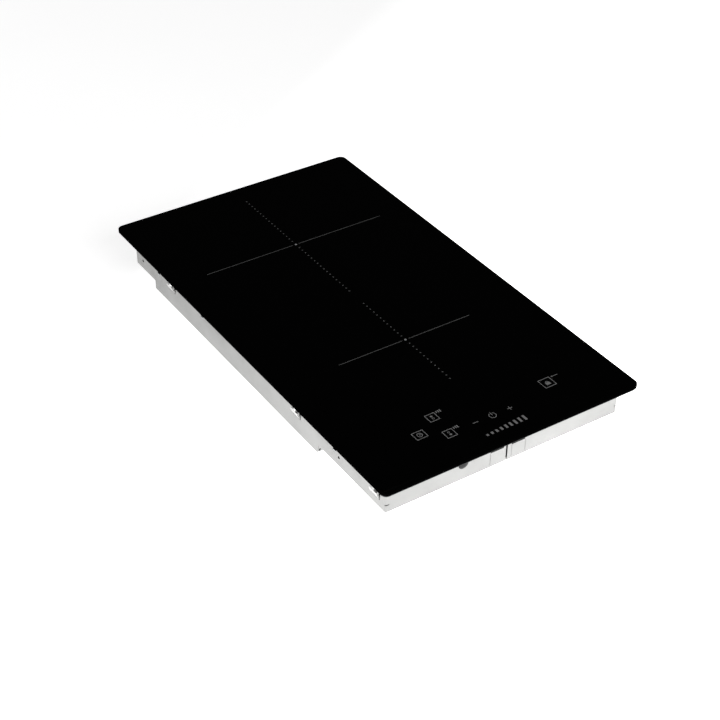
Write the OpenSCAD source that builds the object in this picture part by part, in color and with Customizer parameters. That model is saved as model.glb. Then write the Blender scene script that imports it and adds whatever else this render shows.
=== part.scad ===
// Built-in electric induction cooktop, 30 cm wide, with two cooking zones one behind the other.
// A glass plate is bonded to a shallow sheet-steel housing that drops into a worktop cut-out.
// Under the glass: two sprung coils on an aluminium tray, a power board cooled by a radial fan,
// a touch control behind the front edge, and a mains terminal compartment at the rear.
// Origin: centre of the plate in plan, at the level of the pressed feet. X right, Y to the rear, Z up.

/* [Glass] */
// Width of the glass plate, left to right
glass_w = 288; // [240:1:420]
// Depth of the glass plate, front to back
glass_d = 510; // [500:1:640]
// Thickness of the glass plate
glass_t = 4; // [3:0.5:6]
// Radius of the plate's corners in plan
glass_corner_r = 7; // [5:1:20]
// Width of the facet ground along the front edge
front_bevel_w = 3.6; // [1:0.2:8]
// Height of the facet ground along the front edge
front_bevel_h = 1.6; // [0.5:0.1:2.5]
// Chamfer along the sides and the rear edge
edge_chamfer = 0.5; // [0.2:0.1:1]

/* [Housing] */
// How far the glass reaches past the housing on each side
side_overhang = 12; // [10:0.5:20]
// How far the glass reaches past the housing at the front
front_overhang = 14.5; // [12:0.5:25]
// How far the glass reaches past the housing at the rear
rear_overhang = 19; // [17:0.5:25]
// From the underside of the glass to the underside of the shallow floors
shallow_h = 33.5; // [31:0.5:41]
// From the underside of the glass to the underside of the deep floor
deep_h = 43.5; // [42:0.5:70]
// Thickness of the steel sheet
sheet_t = 0.8; // [0.6:0.1:1.2]
// Outer radius of the housing's vertical corners
wall_corner_r = 2; // [2:0.5:8]
// Width of the flange under the glass
flange_w = 8; // [5:0.5:8]
// From the front edge of the glass to the front end of the deep floor
deep_front_inset = 126.5; // [120:0.5:135]
// From the rear edge of the glass to the rear end of the deep floor
deep_rear_inset = 62; // [58:0.5:66]
// How far the front wall of the deep part leans, measured along Y
slope_run = 2; // [1:0.5:16]
// Height of the four feet pressed into the deep floor
foot_h = 2.5; // [1.5:0.1:4]
// Diameter of a foot where it touches the surface
foot_d = 22; // [14:1:30]
// Height of the lips at the front and rear of the bottom cover
end_lip_h = 2.6; // [2:0.1:4]
// Height of the lips along the sides of the deep floor
side_lip_h = 6.5; // [5:0.5:8]
// Width of the gap in the front wall, where the bent strip's ends meet
seam_gap = 1.8; // [1:0.1:3]

/* [Sealing] */
// Thickness of the silicone bead between flange and glass
bond_t = 1; // [0.5:0.1:1.5]
// Thickness of the foam strip that lies on the worktop
seal_t = 2; // [1:0.1:3]
// Width of the foam strip
seal_w = 8; // [4:0.5:8]
// Distance of the foam strip from the edge of the glass
seal_inset = 1.5; // [1:0.1:3]

/* [Side clips] */
// Length of a clip along Y
clip_len = 12; // [8:0.5:16]
// How far a clip stands out of the wall
clip_out = 3.4; // [2:0.1:5]
// Thickness of the spring steel
clip_t = 0.6; // [0.4:0.1:0.8]
// Height of the clip's bending line above the shallow floor
clip_root_h = 8.5; // [4.5:0.1:12]
// Height of the clip above its bending line
clip_h = 13; // [10:0.5:14]

/* [Cooking zones] */
// From the rear edge of the glass to the centre of the rear zone
rear_zone_inset = 132.5; // [131:0.5:140]
// From the front edge of the glass to the centre of the front zone
front_zone_inset = 175.5; // [172:0.5:180]
// Diameter printed for the rear zone
rear_zone_d = 213; // [180:1:214]
// Diameter printed for the front zone
front_zone_d = 153; // [130:1:158]
// Outer diameter of the rear coil's winding
rear_coil_d = 196; // [160:1:200]
// Outer diameter of the front coil's winding
front_coil_d = 142; // [120:1:146]
// Diameter of the opening in the middle of each winding
coil_eye_d = 40; // [30:1:50]

/* [Coil layers] */
// Free height between the glass and the insulation
coil_gap = 0.2; // [0.1:0.1:0.5]
// Thickness of the ceramic-fibre insulation
insulation_t = 2; // [1:0.1:2.5]
// Thickness of the litz winding
winding_t = 4; // [3:0.1:4.5]
// Thickness of the mica plate
mica_t = 1; // [0.5:0.1:1.2]
// Thickness of the ferrite bars
ferrite_t = 5; // [4:0.1:5.5]
// Thickness of the aluminium carrier
carrier_t = 1.5; // [1:0.1:2]
// Height of the springs that press a coil against the glass
coil_spring_h = 6.5; // [5.5:0.1:7]
// How far a coil can be pressed down
coil_travel = 1.5; // [0.5:0.1:2]
// How far a temperature sensor can be pressed down
sensor_travel = 1; // [0.5:0.1:1.2]
// Diameter of a sensor's guide stem
stem_d = 4; // [3:0.1:5]

/* [Tray] */
// Thickness of the aluminium tray
tray_t = 1.2; // [1:0.1:1.5]
// Length of the tray's hooks and their slots along Y
hook_len = 4.6; // [3:0.1:6]

/* [Electronics] */
// Width of the power board
board_w = 200; // [200:1:206]
// Depth of the power board
board_d = 175; // [175:1:178]
// Thickness of the circuit boards
board_t = 1.6; // [1:0.1:2]
// Height of the standoffs under the power board
standoff_h = 4; // [3:0.1:5]
// Width of the finned part of the heatsink
heatsink_w = 68; // [60:1:70]
// Length of the heatsink
heatsink_len = 150; // [140:1:155]
// Height of the heatsink
heatsink_h = 14; // [12:0.5:14.5]

/* [Fan] */
// Outer diameter of the impeller
impeller_d = 80; // [70:1:82]
// Height of the fan housing
fan_h = 18; // [17.5:0.1:19]
// Diameter of the fan shaft
shaft_d = 3; // [2:0.1:4]
// Number of blades
blades = 31; // [21:2:41]

/* [Terminal compartment] */
// Width of the terminal lid
lid_w = 56; // [50:1:58]
// Height of the terminal lid
lid_h = 24; // [22:0.5:24]
// Diameter of the lid's hinge pins
hinge_pin_d = 2.4; // [2:0.1:3]
// Bore of the cable grommet
cable_d = 9; // [7:0.1:10]
// Diameter of the holes for the fixing brackets
bracket_hole_d = 3; // [2:0.1:5]

/* [Clearances] */
// Radial clearance of shafts and pins that turn or slide
run_fit = 0.03; // [0.02:0.01:0.08]
// Clearance between pieces that only lie next to each other
loose_fit = 0.3; // [0.2:0.05:0.4]
// Clearance of a hook in its slot
hook_fit = 0.1; // [0.05:0.05:0.2]
// Gap above a hook in its slot
hook_gap = 2; // [0.5:0.1:2.5]

/* [Hidden] */
$fn = 64;
cut = 1; // how far a cutting body reaches past the wall that it cuts

// Levels, from the feet upwards
z_deep = foot_h;
z_glass = z_deep + deep_h;
z_top = z_glass + glass_t;
z_shallow = z_glass - shallow_h;
z_flange = z_glass - bond_t;
deep_floor_z = z_deep + sheet_t;
shallow_floor_z = z_shallow + sheet_t;

// Plan of the housing
body_x = glass_w / 2 - side_overhang;
body_front = front_overhang - glass_d / 2;
body_rear = glass_d / 2 - rear_overhang;
body_len = body_rear - body_front;
body_mid = (body_rear + body_front) / 2;
inner_x = body_x - sheet_t;
deep_front = deep_front_inset - glass_d / 2;
deep_rear = glass_d / 2 - deep_rear_inset;
cover_x = inner_x - loose_fit;

// Coil levels, from the glass downwards
z_coil_top = z_glass - coil_gap;
z_winding = z_coil_top - insulation_t - winding_t;
z_mica = z_winding - mica_t;
z_ferrite = z_mica - ferrite_t;
z_carrier = z_ferrite - carrier_t;
z_tray_top = z_carrier - coil_spring_h;
z_tray = z_tray_top - tray_t;
rear_zone_y = glass_d / 2 - rear_zone_inset;
front_zone_y = front_zone_inset - glass_d / 2;
carrier_rim = 3;
mica_rim = 1.5;
spring_wire = 0.9;
coil_spring_d = 10;
rear_spring_r = 75;
front_spring_r = 52;

// Sensors
sensor_r = 7;
sensor_z = z_mica - 0.8;
pad_r = 5.5;
pad_h = 1.3;
stem_below = 2.1;
sensor_spring_wire = 0.7;

// Tray
tray_x = inner_x - 0.4;
tray_front = front_zone_y - front_coil_d / 2 - 10.5;
tray_rear = deep_rear - 1;
hook_y = [deep_rear - 10, rear_zone_y - 33.2, tray_front + 3];
lug_y = [deep_rear - 21, tray_front + 15];
lug_len = 10;
lug_w = 12;
lug_hole_r = 1.45;
lead_hole_r = 7;
lead_hole_x = [66, 44];
lead_hole_y = (rear_zone_y + front_zone_y) / 2 - 11.5;
lead_in_share = 0.3;
lug_hole_x = inner_x - lug_w / 2 - 1;

// Clips: bending lines, tied to the ends of the housing and of the deep part
clip_y = [body_rear - 82.8, deep_front + 35.3, body_front + 15.5];
clip_root_z = z_shallow + clip_root_h;
clip_root_x = body_x - sheet_t / 2;
window_gap = 0.6;
window_top = 2.2;

// Cover
lip_y0 = deep_front + 3;
lip_y1 = deep_rear - 3;
foot_slope = 2.5;
foot_x = inner_x - 26;
foot_y = [deep_front + 26, deep_rear - 26];
cover_screw_y = [deep_rear + 12, body_front + 45.5];
screw_r = 1.4;
vent_slot_w = 3;
vent_slot_margin = 2.2;
vent_pitch = 7;
relief_w = 1.5;
relief_h = 3.2;

// Front wall
strap_z = z_flange - 4.5;
strap_x = 14;
strap_t = 0.8;
window_z = z_glass - 17.3;
window_x = [[-17.8, -2.6], [6.4, 21.8]];
groove_x = [-17.8, 6.4, 22.2];
corner_slot_w = 3.2;
corner_slot_h = 1;
plug_x = -48;
plug_z = z_glass - 15.5;
plug_r = 5.6;

// Fan
fan_x = -30;
fan_y = deep_rear - 68;
fan_z = deep_floor_z + 1;
fan_top = fan_z + fan_h;
fan_wall = 1.5;
scroll_r = 52;
outlet_w = 46;
outlet_y = fan_y - 59;
hub_r = 14;
hub_wall = 1.5;
stator_r = 11;
inlet_r = 29;
rotor_z = fan_z + 2;
rotor_top = fan_top - 3.5;
hub_z = fan_z + 5.2;

// Power board, tied to the holes that the coil leads go through
board_z = deep_floor_z + standoff_h;
board_top = board_z + board_t;
board_front = lead_hole_y - 125;
board_rear = board_front + board_d;
standoff_r = 4;
standoff_inset = 6;
board_screw_r = 1.25;
ribbon_x = 7;
ribbon_w = 12;
ribbon_plug = 3; // how far a ribbon connector reaches past the ribbon
heatsink_x = 14 - board_w / 2;
heatsink_y = board_front + 5;
heatsink_base = 3;
ledge_w = 18;
fins = 12;
fin_t = 1.6;
transistor_y = [for (i = [0:3]) heatsink_y + 24 + i * 34];

// Touch control, tied to the front edge of the glass
control_y = 48 - glass_d / 2;
control_w = 186;
control_d = 50;
control_z = z_glass - 8;
key_y = 37 - glass_d / 2;
zone_key_y = 64 - glass_d / 2;
timer_y = 49.5 - glass_d / 2;
key_places = [
    [-72, timer_y], [-48, zone_key_y], [-48, key_y], [-19.2, key_y], [0, key_y], [19.5, key_y],
    [72.4, timer_y - 1]
];

// Terminal compartment at the rear right
lid_x = inner_x - 6 - lid_w / 2;
lid_z = z_shallow + 4.5;
bezel_t = 2.4;
bezel_rim = 3;
lid_t = 2;
lid_gap = 0.2;
ear_t = 3;
barrel_r = 1.9;
ear_r = 2.4;
hinge_y = body_rear + bezel_t + lid_gap + barrel_r;
hinge_z = lid_z + 0.6;
block_w = 46;
block_d = 17;
block_h = 15;
block_y = body_rear - 24;
grommet_x = lid_x - lid_w / 2 - 16;
grommet_z = z_shallow + 16;
grommet_r = cable_d / 2 + 2.5;
bracket_y = [body_rear - 16.5, body_front + 75];
bracket_z = z_glass - 23.6;

// Printed marks
mark_t = 0.05;
line_w = 0.7;
dot_pitch = 6;
first_dot = 7;
dot_r = 0.75;

// ---------------------------------------------------------------- shared shapes

// Rectangle with round corners, centred in plan
module rounded_rect(w, d, r) {
    square([w - 2 * r, d], center = true);
    square([w, d - 2 * r], center = true);
    for (sx = [-1, 1], sy = [-1, 1])
        translate([sx * (w / 2 - r), sy * (d / 2 - r)]) circle(r);
}

// Flat outline frame, centred in plan
module outline_rect(w, d, line) {
    difference() {
        square([w, d], center = true);
        square([w - 2 * line, d - 2 * line], center = true);
    }
}

// Extrudes a (Y, Z) outline along X from x0 to x1
module along_x(x0, x1) {
    translate([x0, 0, 0]) rotate([90, 0, 90]) linear_extrude(x1 - x0) children();
}

// Extrudes an (X, Z) outline along Y from y0 to y1
module along_y(y0, y1) {
    translate([0, y1, 0]) rotate([90, 0, 0]) linear_extrude(y1 - y0) children();
}

// Box given by its lowest and highest corner
module box(low, high) {
    translate(low) cube(high - low);
}

// Cylinder between two heights
module post(x, y, r, z0, z1) {
    translate([x, y, z0]) cylinder(r = r, h = z1 - z0);
}

// Pan-head screw pointing down; the head stands on the given height
module screw_down(x, y, z, r, len) {
    post(x, y, 2.2 * r, z, z + 1.5 * r);
    post(x, y, r, z - len, z);
}

// Catmull-Rom curve through the points, n steps between two of them
function curve_at(a, b, c, d, t) =
    0.5 * (2 * b + (c - a) * t + (2 * a - 5 * b + 4 * c - d) * t * t
        + (3 * b - a - 3 * c + d) * t * t * t);
function curve(p, n) = [
    for (i = [0:len(p) - 2], s = [0:n - 1])
        curve_at(p[max(i - 1, 0)], p[i], p[i + 1], p[min(i + 2, len(p) - 1)], s / n),
    p[len(p) - 1]
];
function unit(v) = v / norm(v);

// Round wire swept along a path; side is a direction that the path never takes
module wire(path, r, side, sides = 8) {
    last = len(path) - 1;
    rings = [
        for (i = [0:last])
            let (
                t = unit(path[min(i + 1, last)] - path[max(i - 1, 0)]),
                u = unit(cross(side, t)),
                v = cross(t, u)
            )
            [for (k = [0:sides - 1]) path[i] + r * (cos(360 * k / sides) * u + sin(360 * k / sides) * v)]
    ];
    walls = [
        for (i = [0:last - 1], k = [0:sides - 1])
            let (next = (k + 1) % sides)
            [i * sides + k, (i + 1) * sides + k, (i + 1) * sides + next, i * sides + next]
    ];
    start = [[for (k = [0:sides - 1]) k]];
    end = [[for (k = [sides - 1:-1:0]) last * sides + k]];
    polyhedron([for (ring = rings) each ring], concat(walls, start, end), convexity = 8);
}

// Helical compression spring standing on z0, of height h over the wire
module coil_spring(x, y, z0, h, d, wire_d, turns) {
    steps = 14 * turns;
    rise = h - wire_d;
    wire(
        [for (i = [0:steps]) [
            x + d / 2 * cos(360 * i / 14), y + d / 2 * sin(360 * i / 14), z0 + wire_d / 2 + rise * i / steps
        ]],
        wire_d / 2, [0, 0, 1], 6
    );
}

// ---------------------------------------------------------------- glass and sealing

// Black glass-ceramic plate with a facet along the front edge
module glass_top() {
    half_w = glass_w / 2;
    half_d = glass_d / 2;
    color([0.02, 0.02, 0.02])
    difference() {
        intersection() {
            translate([0, 0, z_glass])
                linear_extrude(glass_t)
                    rounded_rect(glass_w, glass_d, glass_corner_r);
            along_x(-half_w, half_w) polygon([
                [-half_d, z_glass], [-half_d, z_top - front_bevel_h], [front_bevel_w - half_d, z_top],
                [half_d - edge_chamfer, z_top], [half_d, z_top - edge_chamfer], [half_d, z_glass]
            ]);
            along_y(-half_d, half_d) polygon([
                [-half_w, z_glass], [-half_w, z_top - edge_chamfer], [edge_chamfer - half_w, z_top],
                [half_w - edge_chamfer, z_top], [half_w, z_top - edge_chamfer], [half_w, z_glass]
            ]);
        }
        // The print is fired into the surface and lies flush with it
        translate([0, 0, z_top - mark_t]) linear_extrude(mark_t + cut) marks_2d();
    }
}

// Cross that marks a cooking zone: a line across, a row of dots along, and a centre dot
module zone_cross(y, d) {
    dots = floor((d / 2 - first_dot) / dot_pitch);
    translate([0, y]) {
        for (s = [-1, 1]) {
            translate([s * (d + 2 * first_dot) / 4 - s * first_dot / 4, 0])
                square([d / 2 - first_dot / 2, line_w], center = true);
            for (i = [0:dots])
                translate([0, s * (first_dot + i * dot_pitch)]) circle(dot_r, $fn = 24);
        }
        circle(1.3, $fn = 32);
    }
}

// Key frame with two dots that show which zone it sets
module zone_key(y, filled, hollow) {
    translate([-48, y]) {
        outline_rect(10.8, 10.8, line_w);
        translate([0, filled]) circle(1.25, $fn = 24);
        translate([0, hollow]) difference() {
            circle(1.25, $fn = 24);
            circle(0.75, $fn = 24);
        }
        for (i = [0:2])
            translate([7.6 + i * 2.1, 4.5]) square([1.2, 2.6 + 0.5 * i], center = true);
    }
}

// Outlines of every mark on the glass
module marks_2d() {
    zone_cross(rear_zone_y, rear_zone_d);
    zone_cross(front_zone_y, front_zone_d);
    zone_key(zone_key_y, 1.6, -1.7);
    zone_key(key_y, -1.6, 1.7);
    // Timer key: frame and clock face
    translate([-72, timer_y]) {
        outline_rect(12.3, 10.6, line_w);
        difference() {
            circle(2.9);
            circle(2.2);
        }
        translate([-0.3, -0.3]) square([0.6, 2.1]);
        translate([-0.3, -0.3]) square([1.7, 0.6]);
    }
    // Minus, on/off and plus
    translate([-19.2, key_y]) square([5.8, line_w], center = true);
    translate([19.5, key_y]) {
        square([5.4, line_w], center = true);
        square([line_w, 5.4], center = true);
    }
    translate([0, key_y]) {
        difference() {
            circle(3.8);
            circle(3.1);
            translate([-1.5, 1]) square([3, 4]);
        }
        translate([-line_w / 2, 0.2]) square([line_w, 4.4]);
    }
    // Power scale: nine strokes that grow to the right
    for (i = [0:8])
        translate([-22 + i * 5.4, key_y - 21.5]) square([2.4, 2.6 + i * 0.55]);
    // Child lock: frame, body and shackle
    translate([72.4, timer_y - 1]) {
        outline_rect(13.2, 13, line_w);
        translate([-2.4, -3.2]) square([4.8, 3.6]);
        translate([0, 0.4]) difference() {
            circle(1.8, $fn = 32);
            circle(1.1, $fn = 32);
            translate([-2, -4]) square([4, 4]);
        }
        translate([9.5, 5.2]) circle(0.9, $fn = 24);
        translate([13.5, 5.2]) square([5, line_w], center = true);
    }
}

// Fired-on marks, a thin layer flush with the glass
module printed_marks() {
    color([0.75, 0.75, 0.75])
    translate([0, 0, z_top - mark_t]) linear_extrude(mark_t) marks_2d();
}

// Foam strip that seals the plate to the worktop
module worktop_seal() {
    outer_w = glass_w - 2 * seal_inset;
    outer_d = glass_d - 2 * seal_inset;
    outer_r = glass_corner_r - seal_inset;
    color([0.12, 0.12, 0.12])
    translate([0, 0, z_glass - seal_t]) linear_extrude(seal_t) difference() {
        rounded_rect(outer_w, outer_d, outer_r);
        rounded_rect(outer_w - 2 * seal_w, outer_d - 2 * seal_w, 2);
    }
}

// Silicone bead that bonds the flange to the glass
module glass_bond() {
    bead = flange_w - 2;
    color([0.08, 0.08, 0.08])
    translate([0, body_mid, z_flange]) linear_extrude(bond_t) difference() {
        rounded_rect(2 * body_x - 2, body_len - 2, wall_corner_r);
        rounded_rect(2 * (body_x - 1 - bead), body_len - 2 - 2 * bead, wall_corner_r);
    }
}

// ---------------------------------------------------------------- housing

// Everything that is cut out of one side wall, for the wall at +X
module side_openings() {
    x0 = inner_x - cut;
    x1 = body_x + cut;
    for (y = clip_y)
        box(
            [x0, y - clip_len / 2 - window_gap, clip_root_z - 0.1],
            [x1, y + clip_len / 2 + window_gap, clip_root_z + clip_h + window_top]
        );
    for (y = hook_y)
        box(
            [x0, y - hook_len / 2 - hook_fit, z_tray - hook_fit],
            [x1, y + hook_len / 2 + hook_fit, z_tray_top + hook_gap]
        );
    for (y = bracket_y)
        translate([x0, y, bracket_z]) rotate([0, 90, 0]) cylinder(d = bracket_hole_d, h = x1 - x0);
}

// Everything that is cut out of the front wall
module front_openings() {
    y0 = body_front - cut;
    y1 = body_front + sheet_t + cut;
    // Seam, open over the wall's whole height and through the flange
    box([0, y0, z_deep - cut], [seam_gap, body_front + flange_w + cut, z_flange + cut]);
    // Two windows under the glass beside the seam
    for (w = window_x)
        box([w[0], y0, window_z], [w[1], y1, strap_z - 1]);
    // Pressed grooves below the windows and beside the seam
    for (x = groove_x)
        box([x - 0.4, body_front - cut, z_shallow + 2.5], [x + 0.4, body_front + 0.25, window_z - 0.4]);
    // Relief slots beside the two front corners
    for (s = [-1, 1])
        translate([s * (body_x - corner_slot_w / 2), 0, z_shallow + 8])
            box(
                [-corner_slot_w / 2, y0, -corner_slot_h / 2],
                [corner_slot_w / 2 + cut, y1 - cut + sheet_t, corner_slot_h / 2]
            );
    translate([plug_x, y0, plug_z]) rotate([-90, 0, 0]) cylinder(r = plug_r - 1.6, h = y1 - y0);
    for (s = [-1, 1])
        translate([s * strap_x + seam_gap / 2, y0, strap_z + 2]) rotate([-90, 0, 0])
            cylinder(r = screw_r, h = y1 - y0);
}

// Everything that is cut out of the rear wall
module rear_openings() {
    y0 = body_rear - sheet_t - cut;
    y1 = body_rear + cut;
    box(
        [lid_x - lid_w / 2 + 5, y0, lid_z + 4],
        [lid_x + lid_w / 2 - 5, y1, lid_z + lid_h - 4]
    );
    translate([grommet_x, y0, grommet_z]) rotate([-90, 0, 0]) cylinder(r = grommet_r, h = y1 - y0);
}

// Lugs turned inwards from both side walls; z is their underside
module wall_lugs(places, z) {
    for (s = [-1, 1], y = places)
        translate([s * (inner_x - lug_w / 2 + 0.2), y, z + sheet_t / 2])
            cube([lug_w + 0.4, lug_len, sheet_t], center = true);
}

// Bent steel strip: four walls, flange under the glass and lugs for the tray and the cover
module housing_frame() {
    color([0.78, 0.78, 0.78]) {
        difference() {
            union() {
                translate([0, body_mid, z_deep]) linear_extrude(z_flange - z_deep) difference() {
                    rounded_rect(2 * body_x, body_len, wall_corner_r);
                    rounded_rect(2 * inner_x, body_len - 2 * sheet_t, wall_corner_r - sheet_t);
                }
                translate([0, body_mid, z_flange - sheet_t]) linear_extrude(sheet_t) difference() {
                    rounded_rect(2 * body_x, body_len, wall_corner_r);
                    rounded_rect(2 * (body_x - flange_w), body_len - 2 * flange_w, wall_corner_r);
                }
                wall_lugs(lug_y, z_tray - sheet_t);
                wall_lugs(cover_screw_y, shallow_floor_z);
            }
            // Shallow ends: the walls stop at the shallow floor
            along_x(-body_x - cut, body_x + cut) polygon([
                [body_front - cut, z_shallow], [deep_front - slope_run, z_shallow], [deep_front, z_deep],
                [deep_front, z_deep - cut], [body_front - cut, z_deep - cut]
            ]);
            box([-body_x - cut, deep_rear, z_deep - cut], [body_x + cut, body_rear + cut, z_shallow]);
            side_openings();
            mirror([1, 0, 0]) side_openings();
            front_openings();
            rear_openings();
            for (s = [-1, 1], y = lug_y)
                post(s * lug_hole_x, y, lug_hole_r, z_tray - 2, z_tray + 1);
            for (s = [-1, 1], y = cover_screw_y)
                post(s * lug_hole_x, y, screw_r, z_shallow - cut, shallow_floor_z + sheet_t + cut);
        }
    }
}

// Strap that joins the two ends of the strip behind the seam
module seam_plate() {
    y0 = body_front + sheet_t;
    color([0.7, 0.7, 0.7])
    difference() {
        box([-strap_x - 4, y0, strap_z], [strap_x + 6, y0 + strap_t, z_flange - sheet_t - 0.2]);
        for (s = [-1, 1])
            translate([s * strap_x + seam_gap / 2, y0 - cut, strap_z + 2]) rotate([-90, 0, 0])
                cylinder(r = screw_r, h = strap_t + 2 * cut);
    }
}

// Outline of the bottom cover in (Y, Z): two shallow floors and the deep floor between them
module cover_profile() {
    corner = sheet_t * tan(atan2(z_shallow - z_deep, slope_run) / 2);
    y0 = body_front + sheet_t + loose_fit;
    y1 = body_rear - sheet_t - loose_fit;
    polygon([
        [y0, z_shallow], [deep_front - slope_run, z_shallow], [deep_front, z_deep],
        [deep_rear, z_deep], [deep_rear, z_shallow], [y1, z_shallow],
        [y1, shallow_floor_z], [deep_rear - sheet_t, shallow_floor_z], [deep_rear - sheet_t, deep_floor_z],
        [deep_front + corner, deep_floor_z], [deep_front - slope_run + corner, shallow_floor_z],
        [y0, shallow_floor_z]
    ]);
}

// Ring of slots under the fan's inlet
module intake_slots() {
    for (ring = [0:2], a = [0:30:330])
        rotate([0, 0, a + 15 * (ring % 2)])
            translate([9 + ring * 7.5, 0, 0])
                cube([4.2, 2.6 + 1.6 * ring, 4 * sheet_t], center = true);
}

// Slots in the front wall of the deep part, where the warm air leaves
module exhaust_slots() {
    slope_h = z_shallow - z_deep;
    slot_len = norm([slope_run, slope_h]) - 2 * vent_slot_margin;
    n = floor((cover_x - 10) / vent_pitch);
    translate([0, deep_front - slope_run / 2, z_deep + slope_h / 2])
        rotate([-atan2(slope_h, slope_run), 0, 0])
            for (i = [-n:n])
                translate([i * vent_pitch, 0, 0]) cube([vent_slot_w, slot_len, 4 * sheet_t], center = true);
}

// Relief holes where the bends of the deep part meet at its two front corners
module corner_reliefs() {
    for (s = [-1, 1])
        translate([s * (cover_x - 0.9 - relief_w / 2), 0, deep_floor_z + 0.2])
            box(
                [-relief_w / 2, deep_front - slope_run - cut, 0],
                [relief_w / 2, deep_front + 2 * sheet_t, relief_h]
            );
}

// Pressed foot: the solid outside or, raised by the sheet's thickness, the hollow inside
module foot_cone(x, y, z) {
    translate([x, y, z]) cylinder(r1 = foot_d / 2, r2 = foot_d / 2 + foot_slope, h = foot_h);
}

// Bottom cover of sheet steel with vents, feet and lips
module bottom_cover() {
    y0 = body_front + sheet_t + loose_fit;
    y1 = body_rear - sheet_t - loose_fit;
    color([0.72, 0.72, 0.72])
    difference() {
        union() {
            intersection() {
                along_x(-cover_x, cover_x) cover_profile();
                translate([0, (y0 + y1) / 2, 0]) linear_extrude(z_glass)
                    rounded_rect(2 * cover_x, y1 - y0, wall_corner_r);
            }
            box([4 - cover_x, y0, z_shallow], [cover_x - 4, y0 + sheet_t, z_shallow + end_lip_h]);
            box([4 - cover_x, y1 - sheet_t, z_shallow], [cover_x - 4, y1, z_shallow + end_lip_h]);
            for (s = [-1, 1])
                translate([s * (cover_x - sheet_t / 2), 0, 0])
                    box(
                        [-sheet_t / 2, lip_y0, z_deep],
                        [sheet_t / 2, lip_y1, z_deep + side_lip_h]
                    );
            for (s = [-1, 1], y = foot_y)
                foot_cone(s * foot_x, y, 0);
        }
        for (s = [-1, 1], y = foot_y) {
            foot_cone(s * foot_x, y, sheet_t);
            post(s * foot_x, y, foot_d / 2 + foot_slope, foot_h + sheet_t - 0.01, foot_h + sheet_t + cut);
        }
        translate([fan_x, fan_y, z_deep]) intake_slots();
        exhaust_slots();
        corner_reliefs();
        for (s = [-1, 1], y = cover_screw_y)
            post(s * lug_hole_x, y, screw_r + 0.2, z_shallow - cut, shallow_floor_z + cut);
    }
}

// Low-head screws: four hold the bottom cover from below, two the strap behind the seam
module housing_screws() {
    head_r = 2.4;
    head_h = 0.9;
    color([0.6, 0.6, 0.6]) {
        for (s = [-1, 1], y = cover_screw_y) {
            post(s * lug_hole_x, y, head_r, z_shallow - head_h, z_shallow);
            post(s * lug_hole_x, y, screw_r, z_shallow, z_shallow + 4);
        }
        for (s = [-1, 1])
            translate([s * strap_x + seam_gap / 2, body_front, strap_z + 2]) rotate([90, 0, 0]) {
                cylinder(r = head_r, h = head_h);
                translate([0, 0, -4]) cylinder(r = screw_r, h = 4);
            }
    }
}

// Moulded plug in the front wall, with a domed head and a snap collar
module front_plug() {
    shank_r = plug_r - 1.6;
    dome_h = 2.1;
    dome_r = (plug_r * plug_r + dome_h * dome_h) / (2 * dome_h);
    color([0.05, 0.05, 0.05])
    translate([plug_x, body_front, plug_z]) rotate([90, 0, 0]) {
        intersection() {
            translate([0, 0, dome_h - dome_r]) sphere(dome_r);
            cylinder(r = plug_r, h = dome_h);
        }
        translate([0, 0, -3.4]) cylinder(r = shank_r - 0.1, h = 3.4);
        translate([0, 0, -3.4]) cylinder(r = shank_r + 0.5, h = 3.4 - sheet_t - 0.1);
    }
}

// ---------------------------------------------------------------- side clips

// Spring tongue in (X, Z), from its bending line at (0, 0); outwards is +X
module clip_profile() {
    out = clip_out + sheet_t / 2;
    belly = 0.55 * clip_h;
    tip_x = -1.2;
    polygon([
        [clip_t / 2, 0.1], [out, belly - 0.8], [out, belly + 0.8], [tip_x + clip_t, clip_h],
        [tip_x, clip_h - 0.2], [out - clip_t, belly + 0.5], [out - clip_t, belly - 0.5], [-clip_t / 2, 0.1]
    ]);
}

// One clip; side is 1 for the right wall and -1 for the left
module side_clip(side, y) {
    color([0.85, 0.85, 0.85])
    mirror([side < 0 ? 1 : 0, 0, 0])
        translate([clip_root_x, 0, clip_root_z])
            along_y(y - clip_len / 2, y + clip_len / 2) clip_profile();
}
module clip_left_rear() { side_clip(-1, clip_y[0]); }
module clip_left_mid() { side_clip(-1, clip_y[1]); }
module clip_left_front() { side_clip(-1, clip_y[2]); }
module clip_right_rear() { side_clip(1, clip_y[0]); }
module clip_right_mid() { side_clip(1, clip_y[1]); }
module clip_right_front() { side_clip(1, clip_y[2]); }

// Roots of the six clips, riveted flat against the inside of the walls
module clip_bases() {
    color([0.8, 0.8, 0.8])
    for (s = [-1, 1], y = clip_y)
        translate([s * (inner_x - clip_t / 2), y, clip_root_z - 2.1])
            cube([clip_t, clip_len, 3.6], center = true);
}

// ---------------------------------------------------------------- coils

// Aluminium tray that carries both coils, hooked into the side walls
module coil_tray() {
    color([0.82, 0.83, 0.84])
    difference() {
        union() {
            box([-tray_x, tray_front, z_tray], [tray_x, tray_rear, z_tray_top]);
            for (s = [-1, 1], y = hook_y)
                translate([s * (tray_x + (body_x - 0.1 - tray_x) / 2 - 0.5), y, z_tray + tray_t / 2])
                    cube([body_x - 0.1 - tray_x + 1, hook_len, tray_t], center = true);
            for (p = spring_places(rear_zone_y, rear_spring_r))
                post(p[0], p[1], 4, z_tray_top - 0.1, z_tray_top + 1.2);
            for (p = spring_places(front_zone_y, front_spring_r))
                post(p[0], p[1], 4, z_tray_top - 0.1, z_tray_top + 1.2);
        }
        for (x = lead_hole_x)
            post(x, lead_hole_y, lead_hole_r, z_tray - cut, z_tray_top + cut);
        for (s = [-1, 1], y = lug_y)
            post(s * lug_hole_x, y, lug_hole_r + 0.25, z_tray - cut, z_tray_top + cut);
    }
}

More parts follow.
